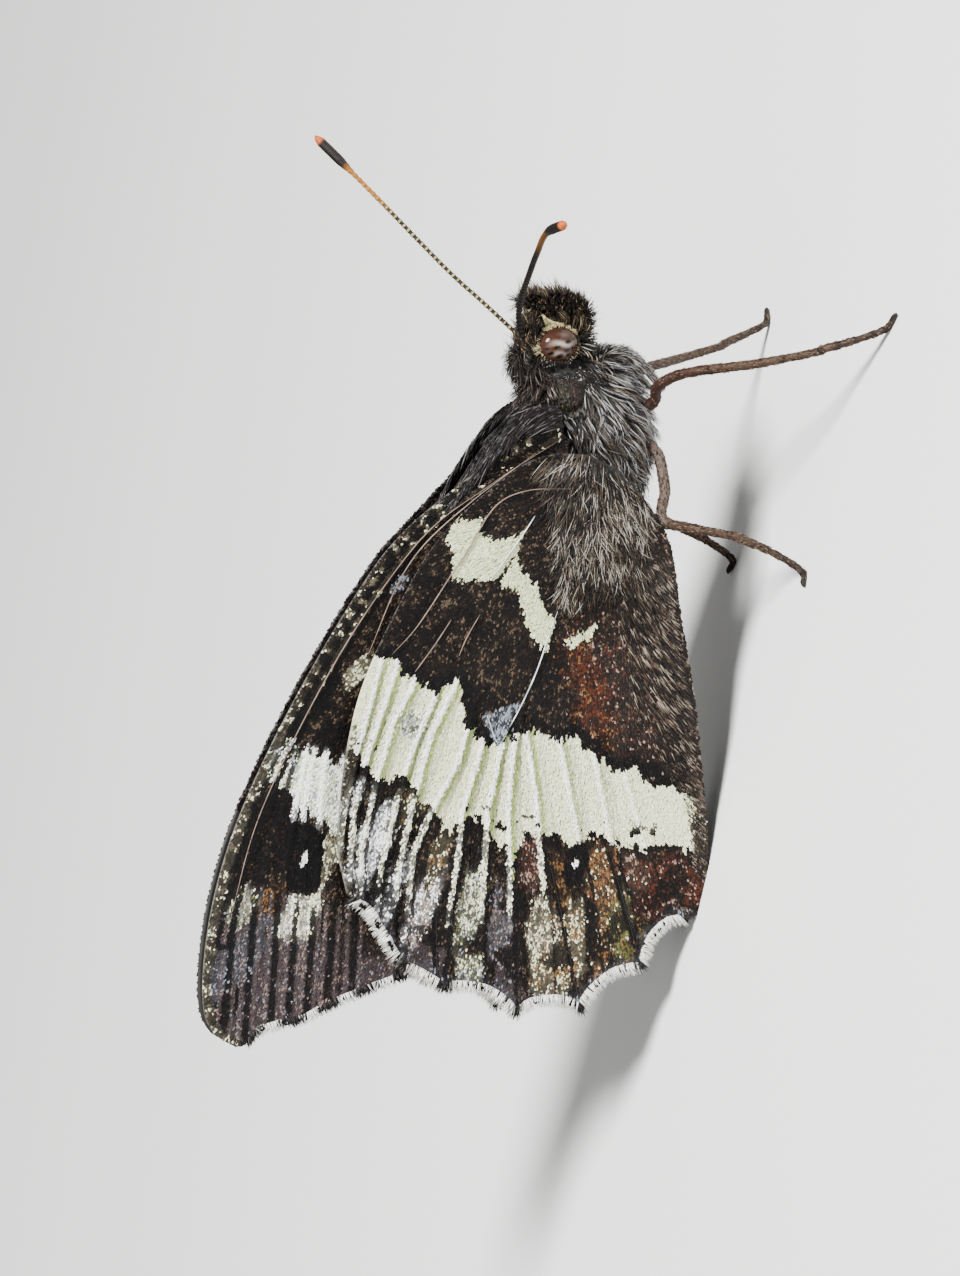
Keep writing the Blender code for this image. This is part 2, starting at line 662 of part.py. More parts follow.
def make_head():
    """Head: an egg-shaped core with antenna sockets and a hollow round each eye."""
    core = ellipsoid("head", head_centre(), HEAD_HALF, BODY_TURN, 18, 12)
    pieces = []
    for points, sign in ((ANTENNA_LEFT, 1), (ANTENNA_RIGHT, -1)):
        for limb, rows in ((SOCKET, antenna_rows(points, sign)), (PALP_ROOT, palp_rows(sign))):
            along, up, side, radius = limb
            root = body_point(HEAD_ALONG + along, HEAD_UP + up, sign * side)
            pieces.append(root_stub("socket", rows, root, radius))
    pieces += head_locks()
    join_by("UNION", "head", core, pieces)
    room = tuple(half + EYE_GAP for half in EYE_HALF)
    hollows = [ellipsoid("hollow", eye_centre(sign), room, BODY_TURN, 16, 10) for sign in (-1, 1)]
    join_by("DIFFERENCE", "head", core, hollows)
    return finish_node(core, (0.16, 0.12, 0.09), 0.9)


def eye_centre(sign):
    """Return the centre of one eye on the side of the head."""
    along, up, side = EYE_PLACE
    return body_point(HEAD_ALONG + along, HEAD_UP + up, sign * side)


def brush_locks(rows, sign, size, leans, lift):
    """Set locks in rows along a limb's outer curve, each lying towards its tip."""
    stations = smooth_path(rows, BRUSH_STEP)
    path = [Vector(row[:3]) for row in stations]
    outer = body_point(-0.8, -0.6) - body_point(0.0, 0.0)
    locks = []
    for index in range(1, len(path) - 1):
        heading = (path[index + 1] - path[index - 1]).normalized()
        front = (outer - heading * outer.dot(heading)).normalized()
        for lean in leans:
            turn = math.radians(lean + random.uniform(-8, 8))
            normal = front * math.cos(turn) + Vector((sign, 0.0, 0.0)) * math.sin(turn)
            root = path[index] + normal * (stations[index][3] * 0.8)
            length = size[0] * random.uniform(0.85, 1.1)
            locks += fitted_lock(root, heading, normal, (length, size[1]), lift, 0.0)
    return locks


def make_brushed(name, rows, sign, brush, colour):
    """Make a palp or foreleg: a tapering stem with a brush of locks."""
    stem = tube(name, rows, 8, 0.7)
    join_by("UNION", name, stem, brush_locks(rows, sign, *brush))
    return finish_node(stem, colour, 0.9)


def wing_locks(sign):
    """Set the long hairs that lie over the hindwing's base as locks on its outer face."""
    locks = []
    for along, top, bottom, count in WING_LOCK_ROWS:
        for step in range(count):
            up = top + (bottom - top) * (step + random.uniform(-0.15, 0.15)) / (count - 1)
            place = body_point(along + random.uniform(-0.3, 0.3), up)
            face = [hindwing_side(place.y + y, place.z + z) for y, z in ((0, 0), (0.2, 0), (0, 0.2))]
            root = Vector((sign * (face[0] + WING_THICK / 2), place.y, place.z))
            slope = (face[1] - face[0]) / 0.2
            rise = (face[2] - face[0]) / 0.2
            normal = Vector((sign, -slope, -rise)).normalized()
            heading = body_point(1.0, -0.12 * up - 0.12) - body_point(0.0, 0.0)
            length = WING_LOCK[0] * random.uniform(0.85, 1.15)
            locks += fitted_lock(root, heading, normal, (length, WING_LOCK[1]), 0.16, 0.0)
    return locks


def make_wings(label, sign):
    """Make the forewing and the hindwing of one side."""
    fans = []
    for index, end in enumerate(FOREWING_FAN):
        share = index / (len(FOREWING_FAN) - 1) * (len(FOREWING_CELL_END) - 1)
        first = min(int(share), len(FOREWING_CELL_END) - 2)
        start = np.array(FOREWING_CELL_END[first])
        start = start + (np.array(FOREWING_CELL_END[first + 1]) - start) * (share - first)
        fans.append([tuple(start), end])
    veins = FOREWING_STEMS + fans
    forewing = wing("forewing_" + label, forewing_outline(), veins, forewing_side, sign)
    finish_node(forewing, (0.25, 0.2, 0.17), 0.8)
    hindwing = wing("hindwing_" + label, hindwing_outline(), HINDWING_VEINS, hindwing_side, sign)
    join_by("UNION", "hindwing_" + label, hindwing, wing_locks(sign))
    finish_node(hindwing, (0.42, 0.4, 0.3), 0.8)


def make_limbs(label, sign):
    """Make the eye, antenna and walking legs of one side."""
    eye = ellipsoid("eye_" + label, eye_centre(sign), EYE_HALF, BODY_TURN, 14, 8)
    finish_node(eye, (0.36, 0.2, 0.13), 0.25)
    points = ANTENNA_LEFT if sign > 0 else ANTENNA_RIGHT
    antenna = tube("antenna_" + label, antenna_rows(points, sign), 8, 1.0)
    finish_node(antenna, (0.24, 0.14, 0.06), 0.6)
    for kind, rows in (("midleg_", MIDLEG), ("hindleg_", HINDLEG)):
        leg = tube(kind + label, leg_rows(rows, sign), 8, 1.0, flat_floor=True)
        finish_node(leg, (0.33, 0.2, 0.14), 0.6)


def main():
    """Clear the scene and build every node, the coated ones after what they must clear."""
    for obj in list(bpy.data.objects):
        bpy.data.objects.remove(obj)
    random.seed(SEED)
    sides = (("right", -1), ("left", 1))
    for label, sign in sides:
        make_limbs(label, sign)
    make_abdomen()
    for label, sign in sides:
        make_wings(label, sign)
    keep_core_clear("head_core", head_centre(), HEAD_HALF)
    for label, sign in sides:
        make_brushed("palp_" + label, palp_rows(sign), sign, PALP_BRUSH, (0.14, 0.11, 0.09))
        make_brushed("foreleg_" + label, leg_rows(FORELEG, sign), sign, FORELEG_BRUSH, (0.33, 0.2, 0.14))
    del SOLIDS["head_core"]
    keep_core_clear("thorax_core", body_point(0.0, 0.0), THORAX_HALF)
    make_head()
    del SOLIDS["thorax_core"]
    make_thorax()


main()
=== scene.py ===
import math
import bpy
import numpy as np
from mathutils import Matrix, Vector


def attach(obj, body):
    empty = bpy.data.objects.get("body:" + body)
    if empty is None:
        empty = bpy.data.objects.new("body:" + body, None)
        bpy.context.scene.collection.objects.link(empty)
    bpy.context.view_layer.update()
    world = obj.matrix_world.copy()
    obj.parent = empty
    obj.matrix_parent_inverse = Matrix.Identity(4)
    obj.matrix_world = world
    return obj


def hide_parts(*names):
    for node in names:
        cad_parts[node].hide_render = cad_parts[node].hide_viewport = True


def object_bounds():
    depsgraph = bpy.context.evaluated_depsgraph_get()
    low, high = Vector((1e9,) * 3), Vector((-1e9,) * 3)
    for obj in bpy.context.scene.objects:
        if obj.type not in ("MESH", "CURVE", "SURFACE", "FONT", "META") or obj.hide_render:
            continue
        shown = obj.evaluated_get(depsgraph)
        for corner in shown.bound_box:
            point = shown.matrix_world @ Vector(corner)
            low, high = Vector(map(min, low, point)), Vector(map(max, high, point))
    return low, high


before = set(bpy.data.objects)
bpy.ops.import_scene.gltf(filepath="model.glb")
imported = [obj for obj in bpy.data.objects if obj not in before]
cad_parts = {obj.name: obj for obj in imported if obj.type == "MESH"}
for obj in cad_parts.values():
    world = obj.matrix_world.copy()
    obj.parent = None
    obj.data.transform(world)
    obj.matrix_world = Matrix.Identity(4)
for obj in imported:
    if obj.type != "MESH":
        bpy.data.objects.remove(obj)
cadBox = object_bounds()
dice = np.random.default_rng(23)

# shared places: lengths are millimetres with the body's middle plane at 0, as (side, back, up)
body = {"pitch": 29.0, "back": -12.4, "up": 12.4, "rowShift": 2.3}
tiltCos = math.cos(math.radians(body["pitch"]))
tiltSin = math.sin(math.radians(body["pitch"]))
sides = (("Right", "right", -1.0), ("Left", "left", 1.0))


def bodyPoint(along, up, side):
    # the body's own axes turned by its pitch: back = along*cos + up*sin, height = up*cos - along*sin
    along, up, side = np.broadcast_arrays(np.asarray(along, float), up, side)
    return np.stack([side, body["back"] + along * tiltCos + up * tiltSin,
                     body["up"] - along * tiltSin + up * tiltCos], -1)


def bodyWay(along, up):
    # a direction in the body's own axes
    return bodyPoint(along, up, 0.0) - bodyPoint(0.0, 0.0, 0.0)


def bodyAxes(back, height):
    # the same turn undone: how far along the body and how far above its axis a side-view place is
    dy = back - body["back"]
    dz = height - body["up"]
    return dy * tiltCos - dz * tiltSin, dy * tiltSin + dz * tiltCos


def ease(value):
    # smooth step from 0 to 1: 3t^2 - 2t^3
    value = np.clip(value, 0.0, 1.0)
    return value * value * (3.0 - 2.0 * value)


def unit(vectors):
    return vectors / np.maximum(np.linalg.norm(vectors, axis=-1, keepdims=True), 1e-9)


def lineSteps(line):
    # how far along a chain of places each of them lies
    return np.concatenate([[0], np.cumsum(np.linalg.norm(np.diff(line, axis=0), axis=1))])


def alongLine(where, steps, line):
    # the places of a chain at some distances along it
    return np.stack([np.interp(where, steps, line[:, k]) for k in range(line.shape[1])], -1)


def quarterTurn(way):
    return np.stack([-way[:, 1], way[:, 0]], 1)


def turned(way, angle):
    # directions in the wing's plane, each turned by its own angle: way*cos + quarter turn*sin
    return way * np.cos(angle)[:, None] + quarterTurn(way) * np.sin(angle)[:, None]


def wingAcross(way):
    # the quarter turn of a direction in the wing's plane, as a direction in space
    return np.stack([np.zeros(len(way)), -way[:, 1], way[:, 0]], 1)


def smoothLine(points, count):
    # a Catmull-Rom curve through the points, resampled at even steps of its own length
    knots = np.asarray(points, float)
    knots = np.vstack([2 * knots[0] - knots[1], knots, 2 * knots[-1] - knots[-2]])
    t = np.linspace(0, 1, 16, endpoint=False)[:, None]
    runs = []
    for a, b, c, d in zip(knots, knots[1:], knots[2:], knots[3:]):
        runs.append(0.5 * (2 * b + (c - a) * t + (2 * a - 5 * b + 4 * c - d) * t ** 2
                           + (3 * b - a - 3 * c + d) * t ** 3))
    line = np.vstack(runs + [knots[-2]])
    steps = lineSteps(line[:, :3])
    return alongLine(np.linspace(0, steps[-1], count), steps, line)


def softNoise(y, z, size, seed):
    # value noise: a fixed random number at each lattice corner, blended smoothly inside each cell
    gy, gz = y / size, z / size
    iy, iz = np.floor(gy), np.floor(gz)
    fy, fz = ease(gy - iy), ease(gz - iz)

    def corner(a, b):
        wave = np.sin(a * 127.1 + b * 311.7 + seed * 74.7) * 43758.5453
        return wave - np.floor(wave)

    low = corner(iy, iz) * (1 - fy) + corner(iy + 1, iz) * fy
    high = corner(iy, iz + 1) * (1 - fy) + corner(iy + 1, iz + 1) * fy
    return low * (1 - fz) + high * fz


def lineDistance(y, z, line):
    # the shortest distance from each place to a chain of straight runs, and how far along it is met
    line = np.asarray(line, float)
    best = np.full(y.shape, 1e9)
    share = np.zeros(y.shape)
    total = lineSteps(line)
    for index in range(len(line) - 1):
        ay, az = line[index]
        ry, rz = line[index + 1] - line[index]
        run = ry * ry + rz * rz + 1e-12
        t = np.clip(((y - ay) * ry + (z - az) * rz) / run, 0, 1)
        gap = np.hypot(y - ay - ry * t, z - az - rz * t)
        near = gap < best
        best = np.where(near, gap, best)
        share = np.where(near, (total[index] + t * math.sqrt(run)) / total[-1], share)
    return best, share


def insideLine(y, z, line):
    # a place is inside when a ray towards +back crosses the closed outline an odd number of times
    line = np.asarray(line, float)
    inside = np.zeros(y.shape, bool)
    for (ay, az), (by, bz) in zip(line, np.roll(line, -1, 0)):
        if az != bz:
            cross = ((az > z) != (bz > z)) & (y < ay + (z - az) / (bz - az) * (by - ay))
            inside ^= cross
    return inside


def buildPiece(name, points, quads, tris, tint=None, bakeUv=None, smooth=True):
    # arrays of places in millimetres and of corner numbers become one mesh at its place in metres
    mesh = bpy.data.meshes.new(name)
    points = (np.asarray(points, float).reshape(-1, 3) + (body["rowShift"], 0, 0)) * 0.001
    points = np.clip(points, np.array(cadBox[0]), np.array(cadBox[1]) - 1e-6)
    quads = np.zeros((0, 4), int) if quads is None else np.asarray(quads).reshape(-1, 4)
    tris = np.zeros((0, 3), int) if tris is None else np.asarray(tris).reshape(-1, 3)
    # six times the enclosed volume = sum of a.(b x c); below nought the faces look inwards and are turned
    corners = np.vstack([quads[:, :3], quads[:, [0, 2, 3]], tris])
    a, b, c = (points[corners[:, k]] for k in range(3))
    if np.einsum("ij,ij->", a, np.cross(b, c)) < 0:
        quads, tris = quads[:, ::-1], tris[:, ::-1]
    loops = np.concatenate([quads.ravel(), tris.ravel()]).astype(np.int32)
    starts = np.concatenate([np.arange(len(quads)) * 4, len(quads) * 4 + np.arange(len(tris)) * 3])
    mesh.vertices.add(len(points))
    mesh.vertices.foreach_set("co", points.ravel())
    mesh.loops.add(len(loops))
    mesh.loops.foreach_set("vertex_index", loops)
    mesh.polygons.add(len(starts))
    mesh.polygons.foreach_set("loop_start", starts.astype(np.int32))
    if tint is not None:
        colours = np.ones((len(points), 4))
        colours[:, :3] = np.asarray(tint, float).reshape(-1, 3)
        layer = mesh.color_attributes.new("tint", "FLOAT_COLOR", "POINT")
        layer.data.foreach_set("color", colours.ravel())
    if bakeUv is not None:
        layer = mesh.uv_layers.new(name="OFBake")
        layer.data.foreach_set("uv", np.asarray(bakeUv, float).reshape(-1, 2)[loops].ravel())
    mesh.update(calc_edges=True)
    mesh.polygons.foreach_set("use_smooth", np.full(len(starts), smooth))
    obj = bpy.data.objects.new(name, mesh)
    bpy.context.scene.collection.objects.link(obj)
    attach(obj, "root")
    return obj


def gridQuads(rows, columns, wrap):
    # corner numbers of a grid of rows by columns, joined round where it wraps
    r = np.arange(rows - 1)[:, None]
    c = np.arange(columns if wrap else columns - 1)[None, :]
    after = (c + 1) % columns
    return np.stack([r * columns + c, r * columns + after, (r + 1) * columns + after,
                     (r + 1) * columns + c], -1).reshape(-1, 4)


def capTris(rows, columns):
    # fans that close a grid's first and last ring round two middles, which come after its corners
    ring, last, total = np.arange(columns), (rows - 1) * columns, rows * columns
    after = np.roll(ring, -1)
    return np.vstack([np.stack([after, ring, np.full(columns, total)], 1),
                      np.stack([last + ring, last + after, np.full(columns, total + 1)], 1)])


def rgb(red, green, blue):
    # a screen colour from 0 to 255 turned into linear light
    c = np.array([red, green, blue]) / 255.0
    return np.where(c <= 0.04045, c / 12.92, ((c + 0.055) / 1.055) ** 2.4)


# materials
def grainGroup():
    # shared fine grain: two noises at a chosen size give a value that varies and a bumped normal
    group = bpy.data.node_groups.new("fineGrain", "ShaderNodeTree")
    for label, kind in (("Vector", "NodeSocketVector"), ("Size", "NodeSocketFloat"),
                        ("Depth", "NodeSocketFloat")):
        group.interface.new_socket(label, in_out="INPUT", socket_type=kind)
    for label, kind in (("Value", "NodeSocketFloat"), ("Normal", "NodeSocketVector")):
        group.interface.new_socket(label, in_out="OUTPUT", socket_type=kind)
    nodes, links = group.nodes, group.links
    start, end = nodes.new("NodeGroupInput"), nodes.new("NodeGroupOutput")
    coarse, fine = nodes.new("ShaderNodeTexNoise"), nodes.new("ShaderNodeTexNoise")
    double, mean, bump = (nodes.new("ShaderNodeMath"), nodes.new("ShaderNodeMath"),
                          nodes.new("ShaderNodeBump"))
    double.operation, double.inputs[1].default_value = "MULTIPLY", 3.1
    mean.operation = "MULTIPLY"
    links.new(start.outputs["Size"], double.inputs[0])
    links.new(start.outputs["Size"], coarse.inputs["Scale"])
    links.new(double.outputs[0], fine.inputs["Scale"])
    for noise in (coarse, fine):
        links.new(start.outputs["Vector"], noise.inputs["Vector"])
        noise.inputs["Detail"].default_value = 3.0
    links.new(coarse.outputs["Fac"], mean.inputs[0])
    links.new(fine.outputs["Fac"], mean.inputs[1])
    links.new(mean.outputs[0], bump.inputs["Height"])
    links.new(start.outputs["Depth"], bump.inputs["Strength"])
    bump.inputs["Distance"].default_value = 0.0001
    links.new(mean.outputs[0], end.inputs["Value"])
    links.new(bump.outputs["Normal"], end.inputs["Normal"])
    return group


grain = grainGroup()


def tintedMaterial(name, size, depth, low, high, roughness, **sockets):
    # the piece's own tint, lightened and darkened by the grain between low and high
    material = bpy.data.materials.new(name)
    material.use_nodes = True
    nodes, links = material.node_tree.nodes, material.node_tree.links
    shader = nodes["Principled BSDF"]
    place, tint, grainNode = (nodes.new("ShaderNodeTexCoord"), nodes.new("ShaderNodeAttribute"),
                              nodes.new("ShaderNodeGroup"))
    tint.attribute_name = "tint"
    grainNode.node_tree = grain
    grainNode.inputs["Size"].default_value = size
    grainNode.inputs["Depth"].default_value = depth
    links.new(place.outputs["Object"], grainNode.inputs["Vector"])
    spread, scaled = nodes.new("ShaderNodeMapRange"), nodes.new("ShaderNodeVectorMath")
    spread.inputs["From Min"].default_value, spread.inputs["From Max"].default_value = 0.12, 0.4
    spread.inputs["To Min"].default_value, spread.inputs["To Max"].default_value = low, high
    scaled.operation = "SCALE"
    links.new(grainNode.outputs["Value"], spread.inputs["Value"])
    links.new(tint.outputs["Color"], scaled.inputs[0])
    links.new(spread.outputs["Result"], scaled.inputs["Scale"])
    links.new(scaled.outputs["Vector"], shader.inputs["Base Color"])
    links.new(grainNode.outputs["Normal"], shader.inputs["Normal"])
    shader.inputs["Roughness"].default_value = roughness
    for socket, value in sockets.items():
        shader.inputs[socket.replace("_", " ")].default_value = value
    return material


membraneFinish = tintedMaterial("wingMembrane", 5200.0, 0.35, 0.8, 1.15, 0.62)
scaleFinish = tintedMaterial("wingScale", 9000.0, 0.2, 0.88, 1.1, 0.6, Specular_IOR_Level=0.12)
hairFinish = tintedMaterial("coatHair", 7000.0, 0.1, 0.85, 1.12, 0.5, Specular_IOR_Level=0.3)
skinFinish = tintedMaterial("bodySkin", 3500.0, 0.5, 0.75, 1.15, 0.7)
limbFinish = tintedMaterial("limbShell", 6000.0, 0.6, 0.6, 1.3, 0.55, Specular_IOR_Level=0.25)
print("materials ready")

# wings: outlines in the side view as (back, up)
hindShape = {
    "costa": [(-11.0, 12.9), (-10.6, 14.6), (-9.5, 16.3), (-6.4, 18.6), (-2.2, 20.3), (4.8, 21.7),
              (11.9, 21.1), (15.1, 19.8)],
    "teeth": [(15.1, 19.8), (18.7, 16.2), (19.5, 13.3), (20.1, 8.9), (19.0, 5.0), (15.8, 1.9),
              (12.2, 0.0)],
    "sags": [0.0, 0.15, 0.75, 0.75, 0.75, 0.75],
    "rest": [(12.2, 0.02), (9.2, 0.02)],
    "anal": [(9.2, 0.02), (5.8, 1.1), (-1.7, 4.1), (-6.8, 6.6), (-9.0, 8.6), (-10.6, 11.0)],
    "centre": (5.0, 11.5), "pivot": (-10.4, 12.6)}
foreShape = {
    "costa": [(-12.2, 14.6), (-11.2, 16.8), (-9.1, 18.1), (-4.7, 21.1), (-1.6, 22.6), (5.2, 24.8),
              (11.8, 26.3), (17.0, 26.7), (21.6, 26.2), (23.9, 25.2), (24.6, 23.4)],
    "teeth": [(24.6, 23.4), (22.8, 20.0), (20.0, 16.1), (16.6, 10.3), (12.6, 5.9)],
    "sags": [0.12, 0.12, 0.12, 0.12],
    "rest": [(12.6, 5.9), (11.4, 5.6)],
    "anal": [(11.4, 5.6), (3.0, 8.6), (-4.0, 11.4), (-9.6, 13.0), (-11.6, 13.9)],
    "centre": (10.0, 17.0), "pivot": (-10.6, 14.2)}
wingSize = {"thick": 0.22, "foreSide": 0.52, "step": 0.92, "baseSide": 1.9, "baseReach": 6.0,
            "flatReach": 12.0, "bulge": 0.75, "bulgeHalf": 2.2, "fringe": 0.62,
            "around": 220, "across": 42, "sunk": 0.045}


def foreSide(y, z):
    # distance from the middle plane: wide at the thorax, easing to the flat wing further out
    reach = np.hypot(y - body["back"], z - body["up"])
    spread = ease((wingSize["flatReach"] - reach) / (wingSize["flatReach"] - wingSize["baseReach"]))
    return wingSize["foreSide"] + (wingSize["baseSide"] - wingSize["foreSide"]) * spread


def hindSide(y, z):
    # one step outside the forewing, and swollen round the abdomen by a bell curve
    along, up = bodyAxes(y, z)
    beside = ease((21.9 - along) / 6.0)
    bulge = wingSize["bulge"] * beside * np.exp(-(up / wingSize["bulgeHalf"]) ** 2)
    return foreSide(y, z) + wingSize["step"] + bulge


def scallop(teeth, sags):
    # shallow arcs between the teeth: each run bends inwards by its sag times a half sine
    runs = []
    for start, end, sag in zip(np.array(teeth[:-1]), np.array(teeth[1:]), sags):
        length = np.linalg.norm(end - start)
        inward = np.array((start[1] - end[1], end[0] - start[0])) / -length
        t = np.linspace(0, 1, 14, endpoint=False)[:, None]
        runs.append(start + (end - start) * t + inward * sag * min(1, length / 4) * np.sin(np.pi * t))
    return np.vstack(runs)


def wingOutline(shape, count, shrink):
    # costa, scalloped margin, resting edge and anal edge in one closed line of even steps, with the
    # margin drawn in by the fringe's length
    costa = smoothLine(shape["costa"], 60)
    margin = scallop(shape["teeth"], shape["sags"])
    anal = smoothLine(shape["anal"], 50)
    line = np.vstack([costa[:-1], margin, shape["rest"][:1], anal])
    closed = np.vstack([line, line[:1]])
    steps = lineSteps(closed)
    where = np.linspace(0, steps[-1], count, endpoint=False)
    even = alongLine(where, steps, closed)
    first, last = steps[len(costa) - 1], steps[len(costa) - 1 + len(margin)]
    on = ease((where - first) / 1.5) * ease((last - where) / 1.5)
    run = np.roll(even, -3, 0) - np.roll(even, 3, 0)
    inward = unit(np.stack([run[:, 1], -run[:, 0]], 1))
    centre = np.array(shape["centre"])
    inward *= np.sign(np.sum(inward * (centre - even), 1))[:, None]
    return even + inward * (on * shrink)[:, None], on, -inward


# colours of scales, as screen colours
palette = {
    "black": (4, 3, 4), "brown": (31, 22, 17), "tan": (80, 67, 53), "cream": (226, 226, 190),
    "leaf": (132, 150, 70), "white": (255, 255, 255), "ice": (132, 139, 148), "rust": (68, 28, 14),
    "gold": (112, 78, 42), "lilac": (48, 38, 44), "rose": (142, 120, 110), "olive": (74, 74, 28)}
paletteNames = list(palette)
paletteColours = np.array([rgb(*palette[name]) for name in paletteNames])


def blend(**shares):
    # shares of the palette's colours in one zone, made to add up to one
    shares = np.array([shares.get(name, 0.0) for name in paletteNames])
    return shares / shares.sum()


zones = {
    "ground": blend(black=0.67, brown=0.22, tan=0.11),
    "black": blend(black=0.93, brown=0.07), "ink": blend(black=0.78, brown=0.2, tan=0.02),
    "umber": blend(black=0.52, brown=0.3, tan=0.18),
    # pleatShade: greenish painted shade for the lower side of each pleat in the band
    "band": blend(cream=0.82, leaf=0.12, white=0.06), "pleatShade": blend(leaf=0.84, cream=0.1, olive=0.06),
    "patch": blend(cream=0.56, leaf=0.38, white=0.06), "greyPatch": blend(ice=0.62, brown=0.2, black=0.18),
    "ridge": blend(white=0.85, cream=0.15), "icy": blend(white=0.52, ice=0.2, black=0.22, brown=0.06),
    "icyDim": blend(ice=0.5, tan=0.2, brown=0.3), "inkIcy": blend(black=0.5, ice=0.22, white=0.28),
    "goldInk": blend(black=0.5, brown=0.2, gold=0.15, cream=0.15),
    "pearl": blend(white=0.42, rose=0.26, black=0.22, lilac=0.1),
    "lilac": blend(lilac=0.36, brown=0.3, rose=0.07, ice=0.04, black=0.23),
    "plum": blend(lilac=0.2, brown=0.35, black=0.42, rose=0.03),
    "frost": blend(cream=0.34, black=0.36, olive=0.12, ice=0.18),
    "ash": blend(black=0.42, ice=0.18, lilac=0.28, rose=0.12),
    "rose": blend(rose=0.2, rust=0.22, black=0.34, brown=0.24),
    "sand": blend(cream=0.32, rose=0.16, black=0.3, tan=0.22),
    "sandGold": blend(gold=0.24, cream=0.24, brown=0.28, black=0.24),
    "umberGold": blend(brown=0.42, black=0.3, gold=0.22, tan=0.06),
    "amber": blend(rust=0.28, gold=0.26, cream=0.1, black=0.36),
    "moss": blend(olive=0.44, cream=0.16, gold=0.14, black=0.26),
    "mossDark": blend(olive=0.24, black=0.46, lilac=0.18, gold=0.12),
    "rust": blend(rust=0.36, brown=0.3, rose=0.06, black=0.28),
    "rustPearl": blend(rust=0.32, rose=0.14, black=0.28, brown=0.22, cream=0.04),
    "inkRust": blend(black=0.6, rust=0.28, rose=0.06, brown=0.06),
    "pinkSpeck": blend(brown=0.42, black=0.4, rose=0.05, tan=0.07, rust=0.06),
    "ember": blend(rust=0.4, gold=0.1, brown=0.22, rose=0.03, black=0.25),
    "herring": blend(black=0.54, brown=0.26, rose=0.08, tan=0.12),
    "oliveFrost": blend(cream=0.36, olive=0.22, ice=0.18, black=0.24),
    "slate": blend(black=0.42, lilac=0.3, ice=0.16, brown=0.12),
    "whiteCream": blend(cream=0.6, white=0.28, ice=0.04, brown=0.08),
    "creamDirt": blend(cream=0.38, tan=0.34, brown=0.28),
    "paleBand": blend(ice=0.3, white=0.26, cream=0.34, leaf=0.1),
    "costaSpeck": blend(cream=0.13, tan=0.1, brown=0.37, black=0.3, lilac=0.1),
    "costaRoot": blend(cream=0.05, brown=0.45, black=0.4, tan=0.1),
    "fleck": blend(cream=0.26, tan=0.44, brown=0.3), "silver": blend(rose=0.24, ice=0.1, lilac=0.66),
    "farWing": blend(black=0.5, brown=0.42, lilac=0.08)}

